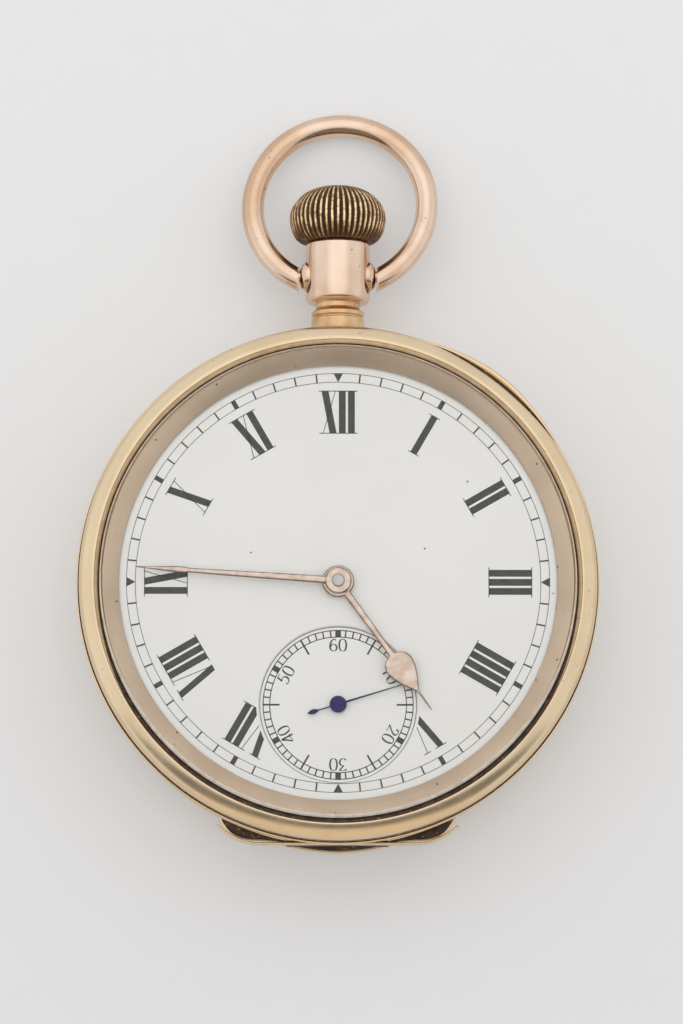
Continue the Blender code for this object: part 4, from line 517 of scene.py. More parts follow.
def makeBand():
    # barrel-shaped wall: r = R + belly sin(pi h)^0.5, with a bead at each edge
    h = np.linspace(0, 1, 28)
    bead = band["bead"] * (np.exp(-(h / band["beadWide"]) ** 2) + np.exp(-((1 - h) / band["beadWide"]) ** 2))
    r = band["radius"] + band["belly"] * np.sin(math.pi * h) ** 0.5 + bead
    outer = np.stack([r, band["top"] - (band["top"] - band["low"]) * h], -1)
    inner = [(band["inside"], band["low"]), (band["inside"], band["seatLow"]), (band["seat"], band["seatLow"]),
             (band["seat"], band["top"])]
    return gridMesh(lathe(np.vstack([outer, inner]), fine), True, True)


def dome(flat, radius, low, shoulder, top, wall):
    # flat middle, then r = flat + (radius - flat) cos(a)^0.7 and z = low + (shoulder - low) (1 - sin a)
    a = np.linspace(math.pi / 2, 0, 40)
    curve = np.stack([flat + (radius - flat) * np.cos(a) ** 0.7, low + (shoulder - low) * (1 - np.sin(a))], -1)
    outside = [[(0.0, low), (flat * 0.5, low), (flat - 0.6, low)], curve, [(radius, top - 0.08), (radius - 0.08, top)]]
    inside = [[(radius - wall, top)], (curve + [-0.7 * wall, 0.8 * wall])[::-1],
              [(flat - 0.6, low + wall), (0.0, low + wall)]]
    return np.vstack(outside + inside)


def makeBack():
    # the rim dips under the hinge at six: z -= depth cos^2, which leaves room for the back to open
    points = lathe(dome(**back), fine)
    points[..., 2] -= notch["depth"] * clockWindow(fine, 180.0, notch["span"]) * (points[..., 2] > notch["above"])
    return gridMesh(points, True, False)


putPiece("caseMiddle", makeBand(), "case", "yellowGold", ["case_band"])
putPiece("backShell", makeBack(), "back", "yellowGold", ["back_cover"])
putPiece("innerCover", gridMesh(lathe(dome(**cover), 200), True, False), "inner_cover", "yellowGold",
         ["cuvette"])
print("case made")

# hinge at six: knuckle tubes in turn, a straight leaf with curled tips on the band, and a flange on the back
hinge = dict(length=10.0, bore=0.28, gap=0.1, soft=0.08, bezelAt=(-24.25, 7.6), bezelTube=0.5, backAt=(-24.4, 2.85),
             backTube=0.45)
leaf = dict(reach=11.6, straight=7.6, y=-24.93, curl=1.75, low=5.7, high=6.65, wall=0.22)
hollow = dict(reach=0.4, section=[(24.56, 3.4), (24.69, 3.45), (24.69, 5.6), (24.56, 5.65)])
flange = dict(reach=11.5, low=2.0, high=2.3, inner=24.2, round=0.12, under=0.15, shade=0.22, shadeSunk=0.1,
              shadeProud=0.02,
              x=[0, 3, 6, 7.4, 8.6, 9.6, 10.4, 11.0, 11.5],
              r=[25.45, 25.36, 25.2, 25.42, 25.76, 25.92, 25.86, 25.5, 24.8])


def makeTube(start, end, place, radius):
    # lathe about X of a ring section with softened ends
    half, bore = (end - start) / 2, hinge["bore"]
    section = softProfile([(bore, -half), (radius, -half), (radius, half), (bore, half)], hinge["soft"], 4)
    return gridMesh(alongX(lathe(section, 40)) + np.array([(start + end) / 2, *place]), True, True)


def makeKnuckles(name, owners, place, radius, finish):
    # one length of the pin for each owner in turn; each body's tubes are one piece
    width = hinge["length"] / len(owners)
    for body in dict.fromkeys(owners):
        starts = [-hinge["length"] / 2 + width * i + hinge["gap"] / 2 for i in range(len(owners)) if owners[i] == body]
        tubes = [makeTube(start, start + width - hinge["gap"], place, radius) for start in starts]
        putPiece(f"{name}_{body}", joinMeshes(tubes), body, finish)


def makeLeaf():
    # upright strip along y = y0 over the straight part, then y0 + curl s^2 to each tip, where it thins
    x = np.linspace(-leaf["reach"], leaf["reach"], 121)
    s = np.clip((np.abs(x) - leaf["straight"]) / (leaf["reach"] - leaf["straight"]), 0, 1)
    path = np.stack([x, leaf["y"] + leaf["curl"] * s ** 2, 0 * x], -1)
    half, low, high = leaf["wall"] / 2, leaf["low"], leaf["high"]
    section = softProfile([(-half, low), (half, low), (half, high), (-half, high)], 0.1, 4)
    points = sweep(path, levelAcross(path), section)
    middle, thin = (low + high) / 2, 1 - 0.5 * np.clip(s - 0.5, 0, 1)
    points[..., 2] = middle + (points[..., 2] - middle) * thin[:, None]
    return gridMesh(capped(points), False, True)


def overFlange(inner, outward, lift):
    # section carried along the flange's outline r(x): a point is at inner, or outward of r, and at height lift
    x = np.linspace(-flange["reach"], flange["reach"], 141)
    r = np.interp(np.abs(x), flange["x"], flange["r"])
    r[3:-3] = np.convolve(r, np.ones(7) / 7, "valid")
    a = np.arcsin(x / r)[:, None]
    outward = np.array(outward, float)[None]
    radius = np.where(np.isnan(outward), inner, r[:, None] + outward)
    points = np.stack([radius * np.sin(a), -radius * np.cos(a), np.array(lift)[None] + 0 * radius], -1)
    return gridMesh(capped(points), False, True)


def makeFlange():
    # rounded above and below
    low, high, soft = flange["low"], flange["high"], flange["round"]
    return overFlange(flange["inner"], [None, -soft, 0, 0, -soft, None],
                      [low, low, low + flange["under"], high - soft, high, high])


def makeFlangeDirt():
    # painted shade: a dark film over the flange, short of its edge, for the hollows between the bezel and the leaf's
    # tips
    low, high, shade = flange["high"] - flange["shadeSunk"], flange["high"] + flange["shadeProud"], flange["shade"]
    return overFlange(flange["inner"] + flange["shadeProud"], [None, -shade, -shade, None], [low, low, high, high])


def makeHollow():
    # painted shade on the band's wall behind the leaf
    a = np.linspace(-hollow["reach"], hollow["reach"], 61)[:, None]
    r, z = np.array(hollow["section"]).T[:, None]
    return gridMesh(capped(np.stack([r * np.sin(a), -r * np.cos(a), z + 0 * a], -1)), False, True)


makeKnuckles("bezelKnuckles", ["case", "bezel_ring", "case", "bezel_ring", "case"], hinge["bezelAt"],
             hinge["bezelTube"], "yellowGold")
# the back's knuckles take the dark brown painted shade, as they sit in the leaf's shadow
makeKnuckles("backKnuckles", ["case", "back", "inner_cover", "case", "inner_cover", "back", "case"],
             hinge["backAt"], hinge["backTube"], "grime")
putPiece("bandLeaf", makeLeaf(), "case", "yellowGold")
# dark strip behind the leaf: painted shade
putPiece("hingeHollowShade", makeHollow(), "case", "grime")
putPiece("backFlange", makeFlange(), "back", "yellowGold")
# the flange's dark film is painted shade
putPiece("flangeShade", makeFlangeDirt(), "back", "grime")
print("hinges made")

# pendant: ringed neck, polished barrel with an open mouth, a round boss each side; corners are (r, y)
pendant = dict(bossAt=30.64, bossRadius=1.5, bossFoot=2.2, bossShoulder=2.75, bossEnd=3.7, soft=0.14)
neckCorners = [(1.3, 24.6), (2.84, 24.6), (2.78, 25.0), (2.62, 25.5), (2.56, 26.0), (2.58, 26.38), (2.4, 26.46),
               (2.4, 26.56), (2.58, 26.66), (2.58, 27.08), (2.28, 27.2), (2.14, 27.5), (2.16, 28.1), (1.3, 28.1)]
barrelCorners = [(1.3, 27.9), (2.4, 27.9), (2.9, 28.0), (3.12, 28.36), (3.1, 33.3), (3.04, 33.8), (2.9, 33.98),
                 (2.74, 33.9), (2.7, 33.2), (1.3, 33.1)]


def turned(corners):
    # lathe about the stem's axis
    return gridMesh(alongY(lathe(softProfile(corners, pendant["soft"], 6), 120)), True, True)


def makeBoss(side):
    # lathe about X: a flattened ball with a collar
    a = np.linspace(0, math.pi / 2, 14)
    radius, foot, shoulder = pendant["bossRadius"], pendant["bossFoot"], pendant["bossShoulder"]
    ball = np.stack([radius * np.cos(a) ** 0.6, shoulder + (pendant["bossEnd"] - shoulder) * np.sin(a) ** 0.8], -1)
    points = alongX(lathe(np.vstack([[(0.0, foot), (radius, foot)], ball]), 48), side)
    return gridMesh(points + np.array([0.0, pendant["bossAt"], stemLift]), True, False)


putPiece("pendantBarrel", turned(barrelCorners), "case", "roseGold", ["pendant"])
putPiece("pendantNeck", turned(neckCorners), "case", "neckGold")
for sideName, side in (("Left", -1), ("Right", 1)):
    putPiece(f"bowBoss{sideName}", makeBoss(side), "case", "roseGold")

# bow: ellipse arc from foot to foot, x = a cos w, y = m + b sin w, tipped down about the bosses
bow = dict(halfWidth=8.5, height=16.4, foot=4.35, end=3.8, overrun=0.09, wire=1.07, drop=0.25892, lean=0.03,
           leanTo=12.0)
bowPin = dict(radius=0.58, low=2.1, high=4.3, soft=0.06, steps=4)


def tipBow(points):
    # turns the bow down by its drop, in radians, about the bosses
    c, s = math.cos(bow["drop"]), math.sin(bow["drop"])
    x, y, z = np.moveaxis(points, -1, 0)
    return np.stack([x, pendant["bossAt"] + c * y + s * z, stemLift - s * y + c * z], -1)


def makeBow():
    # the arc runs on past the foot, and its last rings are cut flat at x = end, next to the bosses
    steps, cutRows = 181, 40
    footShare = math.sqrt(1 - (bow["foot"] / bow["halfWidth"]) ** 2)
    rise = bow["height"] / (1 + footShare)
    start = -math.acos(bow["end"] / bow["halfWidth"]) - bow["overrun"]
    w = np.linspace(start, math.pi - start, steps)
    path = np.stack([bow["halfWidth"] * np.cos(w), bow["height"] - rise + rise * np.sin(w), 0 * w], -1)
    wire = np.stack([np.cos(around(40)), np.sin(around(40))], -1) * bow["wire"]
    points = sweep(path, levelAcross(path), wire)
    count = np.arange(steps)
    side = np.where(count < steps // 2, 1.0, -1.0)[:, None]
    nearEnd = (np.minimum(count, steps - 1 - count) < cutRows)[:, None]
    cut = side * np.maximum(points[..., 0] * side, bow["end"])
    points[..., 0] = np.where(nearEnd, cut, points[..., 0])
    points = capped(points)
    points[..., 0] += bow["lean"] * np.clip(points[..., 1], 0, bow["leanTo"])
    return gridMesh(tipBow(points), False, True)


def makeBowPin(side):
    # pin from the bow's foot into the boss
    return gridMesh(tipBow(alongX(lathe(rod(**bowPin), 32), side)), True, False)


putPiece("bowLoop", joinMeshes([makeBow(), makeBowPin(-1), makeBowPin(1)]), "hanging_bow", "roseGold",
         ["bow"])

# crown: onion outline R(v), cut by flutes: r = R - depth |cos(n u / 2)|^p; levels are (rise, R)
crown = dict(foot=33.6, flutes=50, perFlute=14, rows=90, depth=0.26, sharp=4.0, startAt=0.36, startIn=0.06, endAt=2.2,
             wornAt=[0.0, 0.9, 1.9, 4.6, 6.0], worn=[0.5, 0.72, 1.05, 1.0, 0.8], levels=[
    (0.0, 1.2), (0.0, 2.5), (0.38, 2.55), (0.4, 3.3), (0.5, 3.72), (0.82, 4.1), (1.4, 4.44), (2.0, 4.62), (2.6, 4.7),
    (3.2, 4.66), (3.8, 4.48), (4.35, 4.14), (4.85, 3.68), (5.25, 3.18), (5.55, 2.6), (5.78, 1.9), (5.92, 1.1),
    (5.98, 0.5), (6.0, 0.0)])
sleeve = dict(radius=1.0, low=28.8, high=33.6, soft=0.05, steps=3)


def makeCrown():
    levels = np.array(crown["levels"])
    place = np.linspace(0, len(levels) - 1, crown["rows"])
    rise, radius = [np.interp(place, np.arange(len(levels)), levels[:, i]) for i in range(2)]
    blur = np.array([1, 2, 3, 2, 1]) / 9
    radius[4:-4] = np.convolve(radius, blur, "same")[4:-4]
    u = around(crown["flutes"] * crown["perFlute"])[:, None]
    flute = np.abs(np.cos(crown["flutes"] * u / 2))
    start = (rise - crown["startAt"]) / crown["startIn"]
    fade = np.clip(np.minimum(start, radius / crown["endAt"]), 0, 1)[None] * (radius > 0.3)[None]
    r = radius[None] - crown["depth"] * flute ** crown["sharp"] * fade
    points = np.stack([r * np.cos(u), crown["foot"] + rise[None] + 0 * u, stemLift + r * np.sin(u)], -1)
    wear = np.interp(rise, crown["wornAt"], crown["worn"])[None]
    return gridMesh(points, True, False, {"ridge": (1 - flute ** 2.0 * fade) * wear})


putPiece("crownOnion", makeCrown(), "stem_and_crown", "crown", ["crown"])
putPiece("crownSleeve", gridMesh(alongY(lathe(rod(**sleeve), 40)), True, False), "stem_and_crown", "roseGold")
print("pendant, bow and crown made")

# dial: nested circles from the seconds opening to the rim, P(u, v) = lerp(hole(u), rim(u), v)
dial = dict(top=9.6, low=9.0, radius=21.6, rimRound=0.15, rimDrop=0.12, hole=7.55, lip=0.22, sunk=9.3)
discProfile = [(0.0, 0.0), (2.0, 0.0), (4.0, 0.0), (6.0, 0.0), (7.42, 0.0), (7.52, -0.01), (7.58, -0.05),
               (7.58, -0.25), (0.0, -0.25)]
onDial = np.array([0.0, 0.0, dial["top"]])
onSeconds = np.array([*seconds, dial["sunk"]])


def latheAt(profile, steps, x, y, z=0.0):
    # a lathe whose axis stands at (x, y)
    return lathe(np.array(profile), steps) + np.array([x, y, z])


def makeDial():
    ring = np.stack([np.cos(around(fine)), np.sin(around(fine))], -1)
    rows, heights = [seconds + ring * dial["hole"]], [dial["low"]]
    for a in np.linspace(0, math.pi / 2, 10):
        rows.append(seconds + ring * (dial["hole"] + dial["lip"] * (1 - math.cos(a))))
        heights.append(dial["top"] - dial["lip"] * (1 - math.sin(a)))
    lipRing, rimRing = rows[-1], ring * (dial["radius"] - dial["rimRound"])
    for v in np.linspace(0, 1, 20)[1:]:
        rows.append(lipRing + (rimRing - lipRing) * v)
        heights.append(dial["top"])
    rows += [ring * dial["radius"]] * 2
    heights += [dial["top"] - dial["rimDrop"], dial["low"]]
    lift = np.broadcast_to(np.array(heights)[:, None, None], (len(rows), fine, 1))
    return gridMesh(np.concatenate([np.stack(rows), lift], -1), True, True)


putPiece("dialPlate", makeDial(), "case", "enamel", ["dial"])
putPiece("secondsDisc", gridMesh(latheAt(discProfile, 160, *onSeconds), True, False), "case", "enamel",
         ["seconds_dial"])

# printing: thin raised slabs; a is to the right and b outwards of a centre, at an angle clockwise from twelve
ink = dict(rise=0.012, foot=0.02)
track = dict(outer=20.35, inner=19.5, hair=0.055, tick=0.15, block=0.46, triangle=0.46)
smallTrack = dict(outer=7.2, inner=6.56, hair=0.09, tick=0.13, block=0.54, longTick=5.62, longWidth=0.17,
                  rim=7.53, rimWidth=0.05)
numeral = dict(low=14.5, high=18.62, gap=0.22, serif=0.08, over=0.26, join=0.42, clip=7.86)
letters = {  # strokes are (foot, head, width); feet and heads are the spans that serifs cover
    "I": dict(wide=0.66, strokes=[(0.33, 0.33, 0.66)], feet=[(0.0, 0.66)], heads=[(0.0, 0.66)]),
    "V": dict(wide=1.91, strokes=[(1.11, 0.33, 0.6204), (1.27, 1.79, 0.07)], feet=[],
              heads=[(0.0, 0.66), (1.69, 1.89)]),
    "X": dict(wide=1.4532, strokes=[(1.1166, 0.3366, 0.6732), (0.16, 1.3332, 0.07)],
              feet=[(0.06, 0.24), (0.78, 1.4532)], heads=[(0.0, 0.6732), (1.2332, 1.4132)])}
hours = {0: "XII", 1: "I", 2: "II", 3: "III", 4: "IIII", 5: "V", 7: "VII", 8: "VIII", 9: "IX", 10: "X", 11: "XI"}


def clockAxes(angle):
    # unit steps to the right and outwards
    return np.array([math.cos(angle), -math.sin(angle)]), np.array([math.sin(angle), math.cos(angle)])


def ringStrip(radius, width, place, steps):
    # flat band between two circles, closed below so that it is a thin solid
    inner, outer = radius - width / 2, radius + width / 2
    section = [(inner, -ink["foot"]), (outer, -ink["foot"]), (outer, ink["rise"]), (inner, ink["rise"])]
    return gridMesh(latheAt(section, steps, *place), True, True)


def slab(rim, high, low):
    # an outline made solid between two heights
    rows = [np.hstack([rim, np.full((len(rim), 1), z)]) for z in (high, low)]
    return gridMesh(capped(np.stack(rows)), False, True)


def inkSlab(rim, z):
    return slab(rim, z + ink["rise"], z - ink["foot"])


def outOfSeconds(start, end, radius):
    # moves a strip's ends out to the small seconds' edge, where |start + t (end - start) - centre| = radius
    step, offset = end - start, start - seconds
    a, b = (step ** 2).sum(-1), 2 * (step * offset).sum(-1)
    c = (offset ** 2).sum(-1) - radius ** 2
    root = np.sqrt(np.maximum(b * b - 4 * a * c, 0))
    leave, enter = [((-b + way * root) / (2 * a))[..., None] for way in (1, -1)]
    inStart, inEnd = c < 0, ((end - seconds) ** 2).sum(-1) < radius ** 2
    newStart = np.where((inStart & ~inEnd)[..., None], start + step * leave, start)
    newEnd = np.where((inEnd & ~inStart)[..., None], start + step * enter, end)
    return newStart, newEnd, inStart & inEnd


def strokeMeshes(lines, angle, place, clip=None):
    # lines hold (a0, b0, a1, b1, width): from (a0, b0) to (a1, b1); width lies along a, or along b for a level line.
    # Each becomes a strip nine points wide.
    lines = np.array(lines, float)[:, None, :, None]
    across = np.linspace(-0.5, 0.5, 9)[None, :, None] * lines[:, :, 4]
    level = np.abs(lines[:, :, 1] - lines[:, :, 3]) < 1e-6
    sideways, outward = np.where(level, 0, across), np.where(level, across, 0)
    right, out = clockAxes(angle)
    start, end = [place[:2] + (lines[:, :, i] + sideways) * right + (lines[:, :, i + 1] + outward) * out
                  for i in (0, 2)]
    keep = np.ones(len(lines), bool)
    if clip:
        start, end, inside = outOfSeconds(start, end, clip)
        keep = ~inside.any(-1)
    return [inkSlab(np.vstack([low, high[::-1]]), place[2]) for low, high in zip(start[keep], end[keep])]


def numeralLines(word):
    # thick bars, hairlines and joined serifs of a Roman numeral, centred on a = 0
    low, high, lines, place = numeral["low"], numeral["high"], [], 0.0
    serifs = {"feet": [], "heads": []}
    for letter in word:
        lines += [(place + foot, low, place + head, high, width) for foot, head, width in letters[letter]["strokes"]]
        for end, spans in serifs.items():
            spans += [(place + first, place + last) for first, last in letters[letter][end]]
        place += letters[letter]["wide"] + numeral["gap"]
    shift = (place - numeral["gap"]) / 2
    for spans, level in ((serifs["feet"], low), (serifs["heads"], high)):
        joined = []
        for start, end in sorted(spans):
            if joined and start - joined[-1][1] < numeral["join"]:
                joined[-1][1] = max(joined[-1][1], end)
            else:
                joined.append([start, end])
        lines += [(start - numeral["over"], level, end + numeral["over"], level, numeral["serif"])
                  for start, end in joined]
    return [(a0 - shift, b0, a1 - shift, b1, width) for a0, b0, a1, b1, width in lines]


strokes = [ringStrip(track[k], track["hair"], onDial, fine) for k in ("outer", "inner")]
for hour, word in hours.items():
    clip = numeral["clip"] if hour in (5, 7) else None
    strokes += strokeMeshes(numeralLines(word), math.radians(30 * hour), onDial, clip)
for minute in range(60):
    angle = math.radians(6 * minute)
    if minute % 15 == 0:
        size, (right, out) = track["triangle"], clockAxes(angle)
        wedge = np.array([[-size, track["outer"]], [size, track["outer"]], [0.0, track["inner"]]])
        strokes.append(inkSlab(wedge[:, :1] * right + wedge[:, 1:] * out, dial["top"]))
    else:
        width = track["block"] if minute % 5 == 0 else track["tick"]
        strokes += strokeMeshes([(0.0, track["inner"], 0.0, track["outer"], width)], angle, onDial)
putPiece("dialPrint", joinMeshes(strokes), "case", "ink", smooth=False)

smallStrokes = [ringStrip(smallTrack[k], smallTrack["hair"], onSeconds, 160) for k in ("outer", "inner")]
for second in range(60):
    inner, width = smallTrack["inner"], smallTrack["tick"]
    if second % 10 == 5:
        inner, width = smallTrack["longTick"], smallTrack["longWidth"]
    elif second % 10 == 0:
        width = smallTrack["block"]
    smallStrokes += strokeMeshes([(0.0, inner, 0.0, smallTrack["outer"], width)], math.radians(6 * second), onSeconds)

# figures of the small seconds: guide points in a box one unit high; the pen is broad on upright strokes and
# thin on level ones: width = thin + (broad - thin) |dy / ds|^1.5
figures = dict(height=1.16, wide=0.68, gap=0.1, radius=5.2, thin=0.055, broad=0.165)
guides = {
    "0": [(0.34, 1.0), (0.14, 0.9), (0.05, 0.5), (0.14, 0.1), (0.34, 0.0), (0.54, 0.1), (0.63, 0.5), (0.54, 0.9),
          (0.34, 1.0)],
    "1": [(0.2, 0.86), (0.3, 0.93), (0.35, 1.0), (0.35, 0.5), (0.35, 0.0)],
    "2": [(0.1, 0.74), (0.14, 0.9), (0.32, 1.0), (0.52, 0.9), (0.55, 0.72), (0.4, 0.45), (0.06, 0.05), (0.3, 0.07),
          (0.6, 0.04)],
    "3": [(0.08, 0.86), (0.14, 0.98), (0.56, 0.98), (0.42, 0.76), (0.3, 0.6), (0.5, 0.54), (0.6, 0.3), (0.46, 0.04),
          (0.24, 0.0), (0.08, 0.12)],
    "4": [(0.5, 0.0), (0.5, 0.5), (0.5, 1.0), (0.3, 0.66), (0.04, 0.28), (0.34, 0.27), (0.66, 0.27)],
    "5": [(0.56, 0.98), (0.34, 0.95), (0.17, 0.97), (0.15, 0.76), (0.12, 0.54), (0.34, 0.62), (0.56, 0.48),
          (0.56, 0.2), (0.36, 0.01), (0.18, 0.02), (0.08, 0.12)],
    "6": [(0.54, 0.9), (0.38, 1.0), (0.18, 0.84), (0.06, 0.46), (0.12, 0.12), (0.34, 0.0), (0.56, 0.12), (0.6, 0.34),
          (0.48, 0.54), (0.28, 0.56), (0.1, 0.4)]}


def penLine(guide, steps=72):
    # smooth curve through the guide points, by cubic blending of neighbours
    g = np.array(guide, float)
    g = np.vstack([2 * g[0] - g[1], g, 2 * g[-1] - g[-2]])
    s = np.linspace(0, len(guide) - 1 - 1e-6, steps)
    i = s.astype(int)
    t = (s - i)[:, None]
    p0, p1, p2, p3 = g[i], g[i + 1], g[i + 2], g[i + 3]
    return 0.5 * (2 * p1 + (p2 - p0) * t + (2 * p0 - 5 * p1 + 4 * p2 - p3) * t ** 2
                  + (3 * p1 - p0 - 3 * p2 + p3) * t ** 3)


def figureMeshes(word, angle):
    # pen lines side by side, with their feet to the centre, each given the pen's width and a thickness
    right, out = clockAxes(angle)
    wide = figures["wide"] * figures["height"]
    whole = len(word) * wide + (len(word) - 1) * figures["gap"]
    low, high = dial["sunk"] - ink["foot"], dial["sunk"] + ink["rise"]
    meshes = []
    for i, letter in enumerate(word):
        line = penLine(guides[letter]) * figures["height"]
        along = np.gradient(line, axis=0)
        along /= np.linalg.norm(along, axis=1, keepdims=True) + 1e-9
        side = np.stack([-along[:, 1], along[:, 0]], -1)
        half = (figures["thin"] + (figures["broad"] - figures["thin"]) * np.abs(along[:, 1:2]) ** 1.5) / 2
        start = np.array([i * (wide + figures["gap"]) - whole / 2, 0.0])
        edges = [line + side * half * k + start for k in (-1, 1)]
        flats = [seconds + e[:, :1] * right + (figures["radius"] + e[:, 1:]) * out for e in edges]
        corners = [np.hstack([flats[k], np.full((len(line), 1), z)])
                   for k, z in ((0, low), (1, low), (1, high), (0, high))]
        meshes.append(gridMesh(capped(np.stack(corners, 1)), False, True))
    return meshes


for tens in range(6):
    smallStrokes += figureMeshes(str(10 * tens or 60), math.radians(60 * tens))
putPiece("secondsPrint", joinMeshes(smallStrokes), "case", "ink", smooth=False)
# painted shade: a dark hairline in the corner at the sunk seconds' edge
putPiece("secondsRimShade", ringStrip(smallTrack["rim"], smallTrack["rimWidth"], onSeconds, 160), "case", "grime",
         smooth=False)
print("dial printed")

# hands: P(s, t) = along s, across w(s) cos t, height h(s) sin t; a low rounded section with its width set by w;
# hub corners are (r, z) from the blade's middle
hands = {
    "hourHand": dict(body="hour", node="hour_hand", angle=144.2, finish="handGold", slot="rose_gold", thick=0.3,
                     base=(0.0, 0.0),
                     reach=[1.3, 8.3, 8.75, 8.86, 9.0, 9.3, 9.8, 10.3, 10.9, 11.6, 12.3, 12.8, 13.1, 13.5, 15.3],
                     width=[0.34, 0.27, 0.28, 0.5, 0.86, 1.2, 1.4, 1.4, 1.26, 0.97, 0.58, 0.28, 0.13, 0.09, 0.04],
                     hub=[(0.8, -0.12), (1.5, -0.12), (1.53, 0.0), (1.46, 0.12), (1.2, 0.16), (0.8, 0.14)]),
    "minuteHand": dict(body="centre", node="minute_hand", angle=273.9, finish="handGold", slot="rose_gold", thick=0.3,
                       base=(0.0, 0.0),
                       reach=[0.9, 6.0, 12.0, 13.8, 14.3, 14.8, 15.4, 16.2, 17.5, 18.6, 19.5],
                       width=[0.36, 0.32, 0.26, 0.22, 0.22, 0.3, 0.31, 0.26, 0.17, 0.1, 0.04],
                       hub=[(0.0, -0.12), (1.24, -0.12), (1.3, 0.02), (1.24, 0.16), (1.14, 0.22), (0.64, 0.22),
                            (0.6, 0.17), (0.0, 0.17)]),
    "secondsHand": dict(body="fourth", node="seconds_hand", angle=72.9, finish="blued", slot="blued_steel", thick=0.1,
                        base=seconds,
                        reach=[-3.1, -2.95, -2.7, -2.4, -2.1, -1.95, -1.8, -0.7, 0.7, 3.5, 6.5],
                        width=[0.02, 0.1, 0.22, 0.25, 0.14, 0.07, 0.06, 0.07, 0.1, 0.07, 0.04],
                        hub=[(0.0, -0.1), (0.76, -0.1), (0.83, 0.0), (0.79, 0.08), (0.4, 0.12), (0.0, 0.13)])}
handPin = dict(level=10.78, profile=[(0.0, 0.0), (0.56, 0.0), (0.56, 0.17), (0.5, 0.21), (0.0, 0.22)])
edgeShadeWidth = 0.2  # width of the painted shade along a hand's edge


def makeBlade(hand, middle):
    reach = hand["reach"]
    s = np.unique(np.concatenate([np.linspace(reach[0], reach[-1], 200), reach]))
    w = np.interp(s, reach, hand["width"])
    w[1:-1] = np.convolve(w, [0.25, 0.5, 0.25], "valid")
    w, t = w[:, None], around(20)[None]
    cosine, sine = [np.sign(wave) * np.abs(wave) ** 0.8 for wave in (np.cos(t), np.sin(t))]
    side, up = w * cosine, middle + np.minimum(hand["thick"] / 2, 0.05 + 0.42 * w) * sine
    right, out = clockAxes(math.radians(hand["angle"]))
    flat = np.array(hand["base"]) + s[:, None, None] * out + side[..., None] * right
    edge = np.clip(1 - w * (1 - np.abs(cosine)) / edgeShadeWidth, 0, 1)
    edge = np.concatenate([edge[:1], edge, edge[-1:]])
    return gridMesh(capped(np.concatenate([flat, up[..., None]], -1)), False, True, {"edge": edge})


def makeHub(profile, base, z):
    # lathe of a rounded profile, with an edge mark that the hands' finish turns into painted shade at its outer edge
    rounded = softProfile(profile, 0.05, 4, False)
    points = latheAt(rounded, 64, *base, z)
    edge = np.clip(1 - (rounded[:, 0].max() - rounded[:, 0]) / edgeShadeWidth, 0, 1)
    return gridMesh(points, True, False, {"edge": np.broadcast_to(edge, points.shape[:2])})


for handName, hand in hands.items():
    low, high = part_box(hand["node"])
    middle = (low.z / mm + high.z / mm) / 2
    whole = joinMeshes([makeBlade(hand, middle), makeHub(hand["hub"], hand["base"], middle)])
    putPiece(handName, whole, hand["body"], hand["finish"], [hand["node"]])
putPiece("handPin", makeHub(handPin["profile"], (0.0, 0.0), handPin["level"]), "centre", "pinSteel")
print("hands made")

# springs: r = inner + (outer - inner) s, angle = 2 pi turns s, a strip stood on edge
springs = {
    "hairspring": dict(body="case", axis=(-12.177, -5.094), inner=1.0, outer=3.2, turns=11, strip=0.05,
                       finish="blued"),
    "mainspring": dict(body="going_barrel", axis=(8.601, 6.023), inner=2.5, outer=7.3, turns=9, strip=0.16,
                       finish="steel")}


def makeCoil(name, spring):
    low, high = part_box(name)
    share = np.linspace(0, 1, spring["turns"] * 40 + 1)
    r = spring["inner"] + (spring["outer"] - spring["inner"]) * share
    a = fullTurn * spring["turns"] * share
    out = np.stack([np.cos(a), np.sin(a), 0 * a], -1)
    path = np.array([*spring["axis"], (low.z + high.z) / 2 / mm]) + out * r[:, None]
    half, tall = spring["strip"] / 2, (high.z - low.z) / 2 / mm
    section = np.array([(-half, -tall), (half, -tall), (half, tall), (-half, tall)])
    return gridMesh(capped(sweep(path, out, section)), False, True)


for springName, spring in springs.items():
    putPiece(springName + "Coil", makeCoil(springName, spring), spring["body"], spring["finish"],
             [springName], smooth=False)
print("springs made")

# small work on the bridges, seen with the back open: screws whose slots are dark slabs of painted shade, ring jewels
# at the pivots
screws = dict(radius=0.95, level=2.3, tall=0.24, chamfer=0.07, sink=0.02, slot=0.2, slotReach=0.94, slotFoot=0.03,
              slotRise=0.008, places=[(-12.5, 12.5, 20), (17.6, 0.4, 75), (-6.5, 17.6, 130), (8.4, 18.3, 40),
                                      (-4.4, -18.2, 160), (17.2, -6.2, 95), (9.2, -16.6, 10), (-15.7, 3.2, 55)])
jewels = dict(outer=0.85, inner=0.42, dish=0.2, dishDepth=0.05, level=2.3, tall=0.08, sink=0.02,
              places=[(4.122, -6.657), (0.0, -11.85), (-5.144, -8.88)])
screwTop = screws["level"] - screws["tall"]


def makeScrew(x, y):
    # lathe of a chamfered head, whose top faces down
    r, foot, chamfer = screws["radius"], screws["level"] + screws["sink"], screws["chamfer"]
    profile = [(0.0, foot), (r, foot), (r, screwTop + chamfer), (r - chamfer, screwTop), (0.0, screwTop)]
    return gridMesh(latheAt(profile, 28, x, y), True, False)


def makeSlot(x, y, turn):
    # a narrow slab turned about its screw, which stands in for the slot and is coloured as painted shade
    a, half, reach = math.radians(turn), screws["slot"] / 2, screws["radius"] * screws["slotReach"]
    along, across = np.array([math.cos(a), math.sin(a)]), np.array([-math.sin(a), math.cos(a)])
    rim = np.array([along * i * reach + across * j * half for i, j in ((-1, -1), (1, -1), (1, 1), (-1, 1))]) + [x, y]
    return slab(rim, screwTop + screws["slotFoot"], screwTop - screws["slotRise"])


